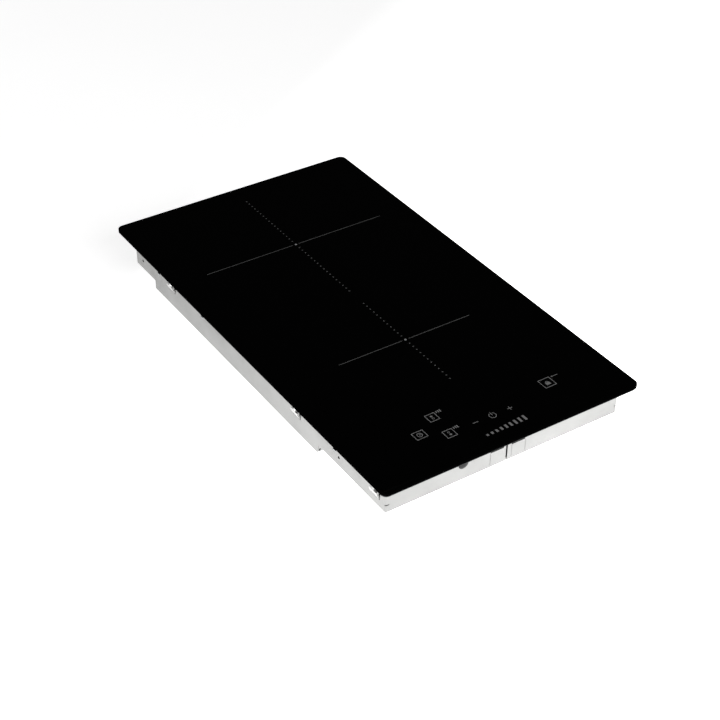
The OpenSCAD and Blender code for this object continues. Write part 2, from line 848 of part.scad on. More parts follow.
// Where a coil's three springs stand
function spring_places(y, r) = [for (a = [30, 150, 270]) [r * cos(a), y + r * sin(a)]];

// Screws that hold the tray on the housing's lugs
module tray_screws() {
    color([0.55, 0.55, 0.55])
    for (s = [-1, 1], y = lug_y)
        screw_down(s * lug_hole_x, y, z_tray_top, lug_hole_r, 5);
}

// Round aluminium plate under a coil, slotted against eddy currents
module coil_carrier(y, d) {
    r = d / 2 + carrier_rim;
    color([0.8, 0.81, 0.83])
    translate([0, y, z_carrier]) difference() {
        cylinder(r = r, h = carrier_t, $fn = 128);
        translate([0, 0, -cut]) cylinder(r = stem_d / 2 + run_fit, h = carrier_t + 2 * cut);
        for (a = [0:60:300])
            rotate([0, 0, a])
                translate([coil_eye_d / 2 + 2, -1.5, -cut])
                    cube([r - coil_eye_d / 2 - 10, 3, carrier_t + 2 * cut]);
    }
}

// Radial ferrite bars between carrier and mica
module coil_ferrites(y, d, count) {
    inner = coil_eye_d / 2 + 3;
    len = d / 2 - inner - 4;
    color([0.2, 0.2, 0.22])
    translate([0, y, z_ferrite])
        for (i = [0:count - 1])
            rotate([0, 0, 360 * (i + 0.5) / count])
                translate([inner, -7, 0]) cube([len, 14, ferrite_t]);
}

// Mica plate that carries the winding
module coil_mica(y, d) {
    color([0.75, 0.7, 0.55])
    translate([0, y, z_mica]) difference() {
        cylinder(r = d / 2 + mica_rim, h = mica_t, $fn = 128);
        translate([0, 0, -cut]) cylinder(r = sensor_r + loose_fit + 0.3, h = mica_t + 2 * cut);
    }
}

// Flat winding of litz wire, one ridge for each turn
module coil_winding(y, d) {
    inner = coil_eye_d / 2;
    turn = 3;
    turns = floor((d / 2 - inner) / turn);
    width = turns * turn;
    start = d / 2 - width;
    color([0.65, 0.35, 0.18])
    translate([0, y, z_winding]) rotate_extrude($fn = 128) {
        translate([start, 0]) square([width, winding_t - turn / 2 - 0.05]);
        for (i = [0:turns - 1])
            translate([start + (i + 0.5) * turn, winding_t - turn / 2 - 0.05]) circle(turn / 2, $fn = 24);
    }
}

// Ceramic-fibre disc between winding and glass
module coil_insulation(y, d) {
    color([0.92, 0.92, 0.88])
    translate([0, y, z_coil_top - insulation_t]) difference() {
        cylinder(r = d / 2, h = insulation_t, $fn = 128);
        translate([0, 0, -cut]) cylinder(d = coil_eye_d, h = insulation_t + 2 * cut);
    }
}

// Temperature sensor: capsule with a soft pad, guided by a stem in the carrier
module coil_sensor(y) {
    color([0.9, 0.9, 0.9])
    translate([0, y, 0]) {
        post(0, 0, sensor_r, sensor_z, z_coil_top - pad_h);
        post(0, 0, pad_r, z_coil_top - pad_h, z_coil_top);
        post(0, 0, stem_d / 2, z_carrier - stem_below, sensor_z);
    }
}

// Spring that lifts the sensor, standing on the carrier
module sensor_spring(y) {
    color([0.7, 0.7, 0.72])
    coil_spring(0, y, z_ferrite + 0.05, sensor_z - z_ferrite - 0.1, 10, sensor_spring_wire, 3);
}

// Three springs between tray and carrier
module coil_springs(y, r) {
    color([0.7, 0.7, 0.72])
    for (p = spring_places(y, r))
        coil_spring(p[0], p[1], z_tray_top + 0.05, coil_spring_h - 0.1, coil_spring_d, spring_wire, 3);
}

// Pair of sleeved leads from the power board through the tray to a coil's edge
module coil_leads(y, d, hole_x) {
    toward = y > lead_hole_y ? 1 : -1;
    z_end = z_winding + winding_t / 2;
    edge = d / 2 + 0.8;
    color([0.85, 0.82, 0.7])
    for (k = [-1, 1]) {
        a = toward * (3 * k - 63);
        x = hole_x + 2.5 * k;
        lead_in = lead_in_share * norm([x - edge * cos(a), lead_hole_y - y - edge * sin(a)]);
        wire(
            curve(
                [
                    [x, lead_hole_y, board_top + 0.1], [x, lead_hole_y, board_top + 6],
                    [x, lead_hole_y, z_tray + 1], [x, lead_hole_y + 1.5 * toward, z_tray_top + 7],
                    [(edge + lead_in) * cos(a), y + (edge + lead_in) * sin(a), z_end],
                    [edge * cos(a), y + edge * sin(a), z_end]
                ],
                4
            ),
            1.5, [1, 0, 0.05]
        );
    }
}

module rear_carrier() { coil_carrier(rear_zone_y, rear_coil_d); }
module rear_ferrites() { coil_ferrites(rear_zone_y, rear_coil_d, 8); }
module rear_mica() { coil_mica(rear_zone_y, rear_coil_d); }
module rear_winding() { coil_winding(rear_zone_y, rear_coil_d); }
module rear_insulation() { coil_insulation(rear_zone_y, rear_coil_d); }
module rear_sensor() { coil_sensor(rear_zone_y); }
module rear_sensor_spring() { sensor_spring(rear_zone_y); }
module rear_coil_springs() { coil_springs(rear_zone_y, rear_spring_r); }
module rear_coil_leads() { coil_leads(rear_zone_y, rear_coil_d, lead_hole_x[0]); }
module front_carrier() { coil_carrier(front_zone_y, front_coil_d); }
module front_ferrites() { coil_ferrites(front_zone_y, front_coil_d, 6); }
module front_mica() { coil_mica(front_zone_y, front_coil_d); }
module front_winding() { coil_winding(front_zone_y, front_coil_d); }
module front_insulation() { coil_insulation(front_zone_y, front_coil_d); }
module front_sensor() { coil_sensor(front_zone_y); }
module front_sensor_spring() { sensor_spring(front_zone_y); }
module front_coil_springs() { coil_springs(front_zone_y, front_spring_r); }
module front_coil_leads() { coil_leads(front_zone_y, front_coil_d, lead_hole_x[1]); }

// ---------------------------------------------------------------- power electronics

// Where the power board is screwed down
function board_posts() = [
    for (sx = [-1, 1], k = [-1:1])
        [sx * (board_w / 2 - standoff_inset), board_front + board_d / 2 + k * (board_d / 2 - standoff_inset)]
];

// Power board with its screw terminals and connectors
module power_board() {
    color([0.1, 0.35, 0.2]) {
        difference() {
            box([-board_w / 2, board_front, board_z], [board_w / 2, board_rear, board_top]);
            for (p = board_posts())
                post(p[0], p[1], board_screw_r + 0.3, board_z - cut, board_top + cut);
        }
        // Mains connector, coil terminals and ribbon connector
        box([66, board_rear - 14, board_top], [84, board_rear - 4, board_top + 6]);
        for (x = lead_hole_x)
            box([x - 5, lead_hole_y - 10, board_top], [x + 5, lead_hole_y - 3, board_top + 5]);
        box(
            [ribbon_x - ribbon_plug, board_front + 1, board_top],
            [ribbon_x + ribbon_w + ribbon_plug, board_front + 4.5, board_top + 2.6]
        );
    }
}

// Threaded standoffs between the deep floor and the power board
module board_standoffs() {
    color([0.75, 0.72, 0.5])
    for (p = board_posts())
        difference() {
            post(p[0], p[1], standoff_r, deep_floor_z, board_z);
            post(p[0], p[1], board_screw_r, deep_floor_z + 0.5, board_z + cut);
        }
}

// Screws of the power board
module board_screws() {
    color([0.6, 0.6, 0.6])
    for (p = board_posts())
        screw_down(p[0], p[1], board_top, board_screw_r, board_t + standoff_h - 1);
}

// Extruded heatsink with a flat ledge for the power transistors
module heatsink() {
    pitch = (heatsink_w - fin_t) / (fins - 1);
    color([0.75, 0.76, 0.78])
    translate([heatsink_x, 0, board_top])
        along_y(heatsink_y, heatsink_y + heatsink_len) {
            square([heatsink_w + ledge_w, heatsink_base]);
            for (i = [0:fins - 1])
                translate([i * pitch, 0]) square([fin_t, heatsink_h]);
        }
}

// Four power transistors and the bridge rectifier's case, flat on the ledge
module power_transistors() {
    x = heatsink_x + heatsink_w + ledge_w / 2 + 0.4;
    z = board_top + heatsink_base;
    color([0.1, 0.1, 0.11])
    for (y = transistor_y) {
        box([x - 7.5, y - 8, z], [x + 7.5, y + 8, z + 4.8]);
        // Three legs, bent down over the ledge's edge
        for (k = [-1:1]) {
            box([x + 7.4, y + 4.5 * k - 0.6, z + 2], [x + ledge_w / 2 + 1.4, y + 4.5 * k + 0.6, z + 2.8]);
            box(
                [x + ledge_w / 2 + 0.2, y + 4.5 * k - 0.6, board_top],
                [x + ledge_w / 2 + 1.4, y + 4.5 * k + 0.6, z + 2.8]
            );
        }
    }
}

// Spring bar that presses the transistors on the heatsink, with its two screws
module transistor_clamp() {
    x = heatsink_x + heatsink_w + ledge_w / 2 + 0.4;
    z = board_top + heatsink_base + 4.8;
    y0 = transistor_y[0] - 10;
    y1 = transistor_y[3] + 10;
    color([0.7, 0.7, 0.7]) {
        box([x - 3.5, y0, z], [x + 3.5, y1, z + 1.2]);
        for (y = [transistor_y[0] + 17, transistor_y[2] + 17]) {
            screw_down(x, y, z + 1.2, 1.5, 1.2);
            post(x, y, 1.5, board_top + heatsink_base, z + 0.1);
        }
    }
}

// Film capacitors in box cases and two electrolytic capacitors
module capacitors() {
    color([0.75, 0.2, 0.15]) {
        for (i = [0:3])
            translate([8, board_front + 8 + i * 22, board_top]) {
                cube([26, 17, 12.5]);
                translate([1, 1, 12.5]) cube([24, 15, 0.5]);
            }
        for (i = [0:1])
            translate([46, board_front + 16 + i * 18, board_top]) difference() {
                cylinder(r = 6.5, h = 13.5);
                for (a = [0, 90])
                    rotate([0, 0, a]) translate([-4.5, -0.3, 13]) cube([9, 0.6, 1]);
            }
    }
}

// Ring choke of the mains filter: core with two windings and a base
module mains_choke() {
    x = 72;
    y = board_front + 57;
    color([0.7, 0.4, 0.15])
    translate([x, y, board_top]) {
        cylinder(r = 15, h = 1.5);
        translate([0, 0, 1.5]) difference() {
            cylinder(r = 13, h = 11);
            translate([0, 0, -cut]) cylinder(r = 7, h = 11 + 2 * cut);
        }
        for (s = [0, 180], i = [-5:5])
            rotate([0, 0, s + i * 12])
                translate([10, 0, 7]) cube([7.6, 1.3, 11.8], center = true);
    }
}

// Transformer of the standby supply
module supply_transformer() {
    color([0.8, 0.65, 0.2])
    translate([60, board_front + 8, board_top]) {
        cube([20, 18, 2]);
        translate([3, 1, 2]) cube([14, 16, 9]);
        translate([0, 3, 2]) cube([20, 12, 11]);
    }
}

// ---------------------------------------------------------------- fan

// Plan of the fan housing, drawn inwards by a wall's thickness
module fan_outline(inset) {
    translate([fan_x, fan_y]) circle(scroll_r - inset, $fn = 96);
    translate([fan_x - scroll_r + inset, outlet_y - (inset > 0 ? cut : 0)])
        square([outlet_w - 2 * inset, fan_y - outlet_y + (inset > 0 ? cut : 0)]);
}

// Scroll with closed top, open towards the heatsink
module fan_scroll() {
    color([0.12, 0.12, 0.13]) {
        translate([0, 0, fan_z + fan_wall]) linear_extrude(fan_h - fan_wall) difference() {
            fan_outline(0);
            fan_outline(fan_wall);
        }
        translate([0, 0, fan_top - fan_wall]) linear_extrude(fan_wall) fan_outline(0);
    }
}

// Bottom plate of the fan with the air inlet and three feet
module fan_plate() {
    color([0.14, 0.14, 0.15]) {
        translate([0, 0, fan_z]) linear_extrude(fan_wall) difference() {
            fan_outline(0);
            translate([fan_x, fan_y]) circle(inlet_r);
        }
        for (a = [30, 150, 270])
            post(fan_x + 44 * cos(a), fan_y + 44 * sin(a), 4, deep_floor_z, fan_z + 0.1);
    }
}

// Stator of the fan motor with the shaft's bush
module fan_motor() {
    color([0.4, 0.3, 0.2])
    translate([fan_x, fan_y, 0]) difference() {
        union() {
            post(0, 0, stator_r, hub_z + hub_wall + 1.2, fan_top - fan_wall - 2);
            post(0, 0, 6, hub_z + hub_wall + 1, fan_top - fan_wall);
        }
        post(0, 0, shaft_d / 2 + run_fit, hub_z, fan_top);
    }
}

// Impeller: hub cup, top disc, blades and inlet ring
module fan_impeller() {
    r = impeller_d / 2;
    blade_h = rotor_top - 1.2 - rotor_z;
    color([0.2, 0.2, 0.22])
    translate([fan_x, fan_y, 0]) {
        difference() {
            post(0, 0, hub_r, hub_z, rotor_top);
            post(0, 0, hub_r - hub_wall, hub_z + hub_wall, rotor_top + cut);
            post(0, 0, shaft_d / 2, hub_z - cut, rotor_top);
        }
        difference() {
            post(0, 0, r, rotor_top - 1.2, rotor_top);
            post(0, 0, hub_r - 0.2, rotor_top - 1.2 - cut, rotor_top + cut);
        }
        difference() {
            post(0, 0, r, rotor_z, rotor_z + 1.2);
            post(0, 0, r - 3.5, rotor_z - cut, rotor_z + 1.2 + cut);
        }
        for (i = [0:blades - 1])
            rotate([0, 0, 360 * i / blades])
                translate([r - 6.5, 0, rotor_z + blade_h / 2 + 0.1])
                    rotate([0, 0, 40]) cube([12, 1, blade_h], center = true);
    }
}

// Shaft pressed into the hub, turning in the motor's bush
module fan_shaft() {
    color([0.8, 0.8, 0.82])
    post(fan_x, fan_y, shaft_d / 2, hub_z, fan_top - fan_wall - 0.5);
}

// ---------------------------------------------------------------- touch control

// Touch board with its display modules
module control_board() {
    color([0.08, 0.3, 0.18]) {
        box(
            [-control_w / 2, control_y - control_d / 2, control_z],
            [control_w / 2, control_y + control_d / 2, control_z + board_t]
        );
        for (y = [zone_key_y + 3, key_y + 5])
            box([-38, y - 3.5, control_z + board_t], [-30, y + 3.5, control_z + board_t + 5]);
        box(
            [ribbon_x - ribbon_plug, control_y + 10, control_z - 3],
            [ribbon_x + ribbon_w + ribbon_plug, control_y + 14, control_z + 0.1]
        );
    }
}

// Moulded carrier that holds the touch board below the glass
module control_carrier() {
    t = 1.5;
    w = control_w + 4;
    d = control_d + 4;
    z0 = control_z - t;
    color([0.85, 0.85, 0.85]) {
        difference() {
            box([-w / 2, control_y - d / 2, z0], [w / 2, control_y + d / 2, z0 + t + board_t]);
            box(
                [-control_w / 2, control_y - control_d / 2, control_z],
                [control_w / 2, control_y + control_d / 2, control_z + board_t + cut]
            );
            for (x = [-62, 0, 62])
                box(
                    [x - 26, control_y - d / 2 + 8, z0 - cut],
                    [x + 26, control_y + d / 2 - 8, z0 + t + cut]
                );
        }
        for (sx = [-1, 1], sy = [-1, 1])
            post(sx * (w / 2 - 5), control_y + sy * (d / 2 - 5), 4, shallow_floor_z, z0 + 0.1);
    }
}

// Contact springs between the touch board and the glass, one under each key
module touch_springs() {
    z0 = control_z + board_t;
    color([0.8, 0.75, 0.5])
    for (p = key_places)
        coil_spring(p[0], p[1], z0 + 0.05, z_glass - z0 - 0.15, 7, 0.6, 3);
}

// Flat ribbon cable from the touch board to the power board
module control_ribbon() {
    start_y = control_y + 12;
    path = [
        [start_y, control_z - 3.8], [start_y + 6, z_tray - 4], [deep_front - 16, z_tray - 6.5],
        [board_front + 1.5, board_top + 3]
    ];
    shift = [0.6, 0.6];
    back = [for (i = [len(path) - 1:-1:0]) path[i] + shift];
    color([0.8, 0.8, 0.82])
    along_x(ribbon_x, ribbon_x + ribbon_w) polygon(concat(path, back));
}

// ---------------------------------------------------------------- terminal compartment

// Five-pole mains terminal block
module terminal_block() {
    pitch = block_w / 5;
    z0 = shallow_floor_z;
    color([0.9, 0.9, 0.86])
    difference() {
        box([lid_x - block_w / 2, block_y, z0], [lid_x + block_w / 2, block_y + block_d, z0 + block_h]);
        for (i = [-2:2]) {
            translate([lid_x + i * pitch, block_y + block_d - 12, z0 + 6]) rotate([-90, 0, 0])
                cylinder(r = 2.6, h = 13);
            post(lid_x + i * pitch, block_y + block_d - 5, 2, z0 + 6, z0 + block_h + cut);
        }
    }
}

// Bezel on the rear wall with the lid's hinge ears
module terminal_bezel() {
    y0 = body_rear;
    color([0.1, 0.1, 0.1]) {
        difference() {
            box(
                [lid_x - lid_w / 2 - bezel_rim, y0, lid_z - bezel_rim],
                [lid_x + lid_w / 2 + bezel_rim, y0 + bezel_t, lid_z + lid_h + bezel_rim]
            );
            box(
                [lid_x - lid_w / 2 + 5, y0 - cut, lid_z + 4],
                [lid_x + lid_w / 2 - 5, y0 + bezel_t + cut, lid_z + lid_h - 4]
            );
        }
        for (s = [-1, 1])
            translate([lid_x + s * (lid_w / 2 - ear_t / 2), 0, 0]) difference() {
                union() {
                    box(
                        [-ear_t / 2, y0 + bezel_t - 0.1, hinge_z - ear_r],
                        [ear_t / 2, hinge_y, hinge_z + ear_r]
                    );
                    translate([-ear_t / 2, hinge_y, hinge_z]) rotate([0, 90, 0])
                        cylinder(r = ear_r, h = ear_t);
                }
                translate([-ear_t / 2 - cut, hinge_y, hinge_z]) rotate([0, 90, 0])
                    cylinder(r = hinge_pin_d / 2 + run_fit, h = ear_t + 2 * cut);
            }
    }
}

// Lid of the terminal compartment, hinged at its lower edge
module terminal_lid() {
    inner_face = hinge_y - barrel_r;
    barrel = lid_w / 2 - ear_t - loose_fit;
    wide_z = hinge_z + ear_r + 0.6;
    color([0.13, 0.13, 0.13])
    translate([lid_x, 0, 0]) {
        box([-barrel, inner_face, hinge_z], [barrel, inner_face + lid_t, wide_z + 0.1]);
        box([-lid_w / 2, inner_face, wide_z], [lid_w / 2, inner_face + lid_t, lid_z + lid_h]);
        box([-8, inner_face, lid_z + lid_h - 1.4], [8, inner_face + lid_t + 1.6, lid_z + lid_h]);
        translate([-barrel, hinge_y, hinge_z]) rotate([0, 90, 0]) cylinder(r = barrel_r, h = 2 * barrel);
        translate([-lid_w / 2, hinge_y, hinge_z]) rotate([0, 90, 0]) cylinder(d = hinge_pin_d, h = lid_w);
    }
}

// Rubber grommet of the mains cable's inlet
module cable_grommet() {
    flange = 2.5;
    lip = 2;
    neck = grommet_r - hook_fit / 2;
    color([0.06, 0.06, 0.06])
    translate([grommet_x, body_rear, grommet_z]) rotate([-90, 0, 0]) rotate_extrude() polygon([
        [cable_d / 2, -sheet_t - lip], [grommet_r + flange - 1, -sheet_t - lip],
        [grommet_r + flange, -sheet_t],
        [neck, -sheet_t], [neck, 0], [grommet_r + flange, 0], [grommet_r + flange - 1, lip],
        [cable_d / 2, lip]
    ]);
}

// Three mains leads from the terminal block to the power board
module mains_leads() {
    y1 = block_y - 0.1;
    y_step = deep_rear + 5;
    color([0.35, 0.25, 0.15])
    for (i = [0:2]) {
        x0 = lid_x - block_w / 2 + 5 + i * 4;
        x1 = 70 + i * 5;
        wire(
            curve(
                [
                    [x0, y1, shallow_floor_z + 7], [x0, y1 - 6, shallow_floor_z + 6.5],
                    [x0, y_step, shallow_floor_z + 5], [x0, deep_rear - 6, shallow_floor_z + 2],
                    [(x0 + x1) / 2, deep_rear - 40, deep_floor_z + 4],
                    [x1, board_rear + 28, deep_floor_z + 4], [x1, board_rear + 6, board_top + 2],
                    [x1, board_rear - 3.9, board_top + 3]
                ],
                4
            ),
            1.2, [1, 0, 0]
        );
    }
}

// Earth stud on the rear floor and its lead to the terminal block
module earth_lead() {
    x = grommet_x + 9;
    y = body_rear - 9;
    z = shallow_floor_z;
    end_x = lid_x - block_w / 2 - 0.1;
    color([0.55, 0.65, 0.2]) {
        post(x, y, 2, z, z + 9);
        post(x, y, 4, z, z + 2.4);
        wire(
            curve(
                [
                    [x + 1.2, y, z + 4], [x + 5, y - 1, z + 4.6], [(x + end_x) / 2 + 2, block_y + 9, z + 7],
                    [end_x - 3, block_y + 7, z + 8], [end_x, block_y + 7, z + 8]
                ],
                4
            ),
            1.3, [0, 0, 1]
        );
    }
}

// ---------------------------------------------------------------- nodes

glass_top();
printed_marks();
worktop_seal();
glass_bond();
housing_frame();
seam_plate();
bottom_cover();
housing_screws();
front_plug();
clip_bases();
clip_left_rear();
clip_left_mid();
clip_left_front();
clip_right_rear();
clip_right_mid();
clip_right_front();
coil_tray();
tray_screws();
rear_carrier();
rear_ferrites();
rear_mica();
rear_winding();
rear_insulation();
rear_sensor();
rear_sensor_spring();
rear_coil_springs();
rear_coil_leads();
front_carrier();
front_ferrites();
front_mica();
front_winding();
front_insulation();
front_sensor();
front_sensor_spring();
front_coil_springs();
front_coil_leads();
power_board();
board_standoffs();
board_screws();
heatsink();
power_transistors();
transistor_clamp();
capacitors();
mains_choke();
supply_transformer();
fan_scroll();
fan_plate();
fan_motor();
fan_impeller();
fan_shaft();
control_board();
control_carrier();
touch_springs();
control_ribbon();
terminal_block();
terminal_bezel();
terminal_lid();
cable_grommet();
mains_leads();
earth_lead();
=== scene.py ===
"""A narrow built-in induction cooktop: its finishes and fine pieces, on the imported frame."""

import logging
import math
from collections.abc import Callable
from dataclasses import dataclass, field
from enum import Enum
from typing import Any

import bmesh
import bpy
import numpy as np
from mathutils import Matrix, Vector


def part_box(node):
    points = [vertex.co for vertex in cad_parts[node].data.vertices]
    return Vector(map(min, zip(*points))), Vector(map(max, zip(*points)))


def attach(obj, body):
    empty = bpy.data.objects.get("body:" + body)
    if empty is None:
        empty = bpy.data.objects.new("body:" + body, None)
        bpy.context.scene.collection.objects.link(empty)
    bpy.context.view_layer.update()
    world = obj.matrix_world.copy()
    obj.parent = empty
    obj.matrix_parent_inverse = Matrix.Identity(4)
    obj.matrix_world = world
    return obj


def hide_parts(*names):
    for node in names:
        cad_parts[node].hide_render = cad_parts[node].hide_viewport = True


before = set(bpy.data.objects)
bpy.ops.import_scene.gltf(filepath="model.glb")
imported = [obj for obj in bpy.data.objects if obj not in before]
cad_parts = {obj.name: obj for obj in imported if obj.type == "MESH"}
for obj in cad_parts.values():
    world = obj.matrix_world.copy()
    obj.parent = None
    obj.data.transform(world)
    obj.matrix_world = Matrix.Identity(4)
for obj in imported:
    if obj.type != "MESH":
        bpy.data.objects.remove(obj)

LOG = logging.getLogger("cooktop")
MM = 0.001
RGBA = tuple[float, float, float, float]


def srgb(code: str) -> RGBA:
    """Turn an sRGB hex colour into linear light.

    Args:
        code: Six hex digits after a hash.

    Returns:
        The colour in linear light, with an alpha of one.
    """
    parts = [int(code[i : i + 2], 16) / 255 for i in (1, 3, 5)]
    linear = [c / 12.92 if c <= 0.04045 else ((c + 0.055) / 1.055) ** 2.4 for c in parts]
    return (*linear, 1.0)


def shade(code: str, factor: float) -> RGBA:
    """Make a colour lighter or darker.

    Args:
        code: The colour in sRGB hex.
        factor: What its linear light is multiplied by.

    Returns:
        The changed colour in linear light.
    """
    return (*[min(1.0, c * factor) for c in srgb(code)[:3]], 1.0)


def add_node(
    tree: bpy.types.NodeTree, kind: str, inputs: dict[str | int, Any] | None = None, **settings: Any
) -> bpy.types.Node:
    """Add one node, set its options, and fill or link its inputs.

    Args:
        tree: The shader or geometry tree.
        kind: The node's type.
        inputs: A value, or an output socket to link from, for each input by name or number.
        settings: The node's own options.

    Returns:
        The new node.
    """
    node = tree.nodes.new(kind)
    for name, value in settings.items():
        setattr(node, name, value)
    for key, value in (inputs or {}).items():
        if isinstance(value, bpy.types.NodeSocket):
            tree.links.new(value, node.inputs[key])
        else:
            node.inputs[key].default_value = value
    return node


class Direction(Enum):
    """The way that a sheet or a bar was rolled, ground or drawn."""

    ACROSS = (1.0, 0.0, 0.0)
    ALONG = (0.0, 1.0, 0.0)
    UP = (0.0, 0.0, 1.0)


class Shader:
    """One material under construction: its tree, its coordinates and its surface node."""

    def __init__(self, name: str) -> None:
        """Start an empty material.

        Args:
            name: The material's name.
        """
        self.material = bpy.data.materials.new(name)
        self.material.use_nodes = True
        self.tree = self.material.node_tree
        self.tree.nodes.clear()
        self.surface = self.add("ShaderNodeBsdfPrincipled")
        output = self.add("ShaderNodeOutputMaterial")
        self.tree.links.new(self.surface.outputs[0], output.inputs["Surface"])
        self.coords = self.add("ShaderNodeTexCoord").outputs["Object"]

    def add(self, kind: str, inputs: dict[str | int, Any] | None = None, **settings: Any) -> bpy.types.Node:
        """Add a node to this material; see add_node."""
        return add_node(self.tree, kind, inputs, **settings)

    def noise(self, size: float, detail: float = 2.0, stretch: tuple[float, float, float] = (1, 1, 1)) -> Any:
        """Read a cloudy pattern with features of a real size.

        Args:
            size: The feature size in mm.
            detail: How many finer layers it has.
            stretch: How much longer the features are on each axis.

        Returns:
            The pattern's value socket.
        """
        scale = [1 / (size * MM * s) for s in stretch]
        spread = self.add("ShaderNodeVectorMath", {0: self.coords, 1: scale}, operation="MULTIPLY")
        return self.add("ShaderNodeTexNoise", {"Vector": spread.outputs[0], "Scale": 1.0, "Detail": detail}).outputs[0]

    def cells(self, size: float, feature: str = "F1", output: str = "Distance") -> Any:
        """Read a cellular pattern with cells of a real size in mm."""
        made = self.add("ShaderNodeTexVoronoi", {"Vector": self.coords, "Scale": 1 / (size * MM)}, feature=feature)
        return made.outputs[output]

    def between(self, value: Any, low: float, high: float, start: float = 0.3, end: float = 0.7) -> Any:
        """Spread a pattern's middle part over a range.

        Args:
            value: The pattern's value socket.
            low: The result at start.
            high: The result at end.
            start: The pattern's value that gives low.
            end: The pattern's value that gives high.

        Returns:
            The result's socket.
        """
        sockets = {"Value": value, "From Min": start, "From Max": end, "To Min": low, "To Max": high}
        return self.add("ShaderNodeMapRange", sockets).outputs[0]

    def mix(self, share: Any, first: Any, second: Any) -> Any:
        """Blend two colours or colour sockets by a share and return the result's socket."""
        made = self.add("ShaderNodeMix", {0: share, 6: first, 7: second}, data_type="RGBA")
        return made.outputs[2]

    def relief(self, height: Any, depth: float, strength: float = 1.0, under: Any = None) -> Any:
        """Turn a pattern into bumps of a real depth.

        Args:
            height: The pattern's value socket.
            depth: The bumps' depth in mm.
            strength: How strongly they show.
            under: The normal socket of coarser bumps below these.

        Returns:
            The normal's socket.
        """
        inputs = {"Height": height, "Distance": depth * MM, "Strength": strength}
        if under is not None:
            inputs["Normal"] = under
        return self.add("ShaderNodeBump", inputs).outputs[0]

    def set(self, **inputs: Any) -> None:
        """Set or link the surface's inputs; underscores stand for spaces."""
        for key, value in inputs.items():
            socket = self.surface.inputs[key.replace("_", " ")]
            if isinstance(value, bpy.types.NodeSocket):
                self.tree.links.new(value, socket)
            else:
                socket.default_value = value


@dataclass(frozen=True)
class Finish:
    """What a surface is made of: a colour in sRGB hex and a mean roughness."""

    name: str
    colour: str
    roughness: float

    def dress(self, shader: Shader) -> None:
        """Build the finish's pattern in a material's tree."""
        raise NotImplementedError

    def material(self) -> bpy.types.Material:
        """Make the finish's material, once.

        Returns:
            The material, which is made at the first call.
        """
        if self.name not in bpy.data.materials:
            shader = Shader(self.name)
            self.dress(shader)
        return bpy.data.materials[self.name]


@dataclass(frozen=True)
class GlassCeramic(Finish):
    """Black glass-ceramic, rolled and then polished: a mirror with a very faint roller wave."""

    wave: float = 9.0
    wave_depth: float = 0.0006

    def dress(self, shader: Shader) -> None:
        """Build a black mirror, slightly uneven in gloss where hands have wiped it."""
        wiped = shader.noise(70, 4, (1, 2.4, 1))
        wave = shader.relief(shader.noise(self.wave, 1), self.wave_depth)
        body = shader.mix(shader.between(shader.noise(45, 2), 0, 1), srgb(self.colour), shade(self.colour, 1.5))
        gloss = shader.between(wiped, self.roughness * 0.7, self.roughness * 1.6)
        shader.set(Base_Color=body, Roughness=gloss, Normal=wave)


@dataclass(frozen=True)
class GroundEdge(Finish):
    """The plate's ground and blackened edge: fine grinding lines round it, hardly any gloss."""

    def dress(self, shader: Shader) -> None:
        """Build the grinding lines and a black, dull skin."""
        lines = shader.noise(0.12, 2, (60, 60, 1))
        body = shader.mix(shader.between(lines, 0, 1), srgb(self.colour), shade(self.colour, 1.8))
        gloss = shader.between(lines, self.roughness - 0.08, self.roughness + 0.08)
        shader.set(Base_Color=body, Roughness=gloss, Normal=shader.relief(lines, 0.004, 0.6))
        shader.set(Specular_IOR_Level=0.0)


@dataclass(frozen=True)
class FiredPrint(Finish):
    """Ceramic ink screen printed and fired into the glass: matt dots, a little thinner here and there."""

    faint: str = "#8a8a8a"
    key_colour: str = "#b8b8b8"
    key_edge: float = -180.0
    bright_spots: tuple[tuple[float, float], ...] = ()
    spot: float = 1.6

    def dress(self, shader: Shader) -> None:
        """Build faint zone lines, brighter keys and bright centre marks from one ink."""
        place = shader.add("ShaderNodeSeparateXYZ", {0: shader.coords})
        keys = shader.add("ShaderNodeMath", {0: place.outputs[1], 1: self.key_edge * MM}, operation="LESS_THAN")
        tone = shader.mix(keys.outputs[0], srgb(self.faint), srgb(self.key_colour))
        flat = shader.add("ShaderNodeVectorMath", {0: shader.coords, 1: (1, 1, 0)}, operation="MULTIPLY").outputs[0]
        for x, y in self.bright_spots:
            away = shader.add("ShaderNodeVectorMath", {0: flat, 1: (x, y, 0)}, operation="DISTANCE")
            near = shader.add("ShaderNodeMath", {0: away.outputs[1], 1: self.spot * MM}, operation="LESS_THAN")
            tone = shader.mix(near.outputs[0], tone, srgb(self.colour))
        screen = shader.between(shader.cells(0.22), 1, 0.72, 0.2, 0.6)
        thin = shader.between(shader.noise(6, 2), 0.85, 1.0)
        cover = shader.add("ShaderNodeMath", {0: screen, 1: thin}, operation="MULTIPLY").outputs[0]
        ink = shader.mix(cover, srgb("#0a0a0a"), tone)
        bump = shader.relief(shader.cells(0.22), 0.01, 0.5)
        shader.set(Base_Color=ink, Roughness=shader.between(thin, self.roughness, 0.35, 0.85, 1), Normal=bump)


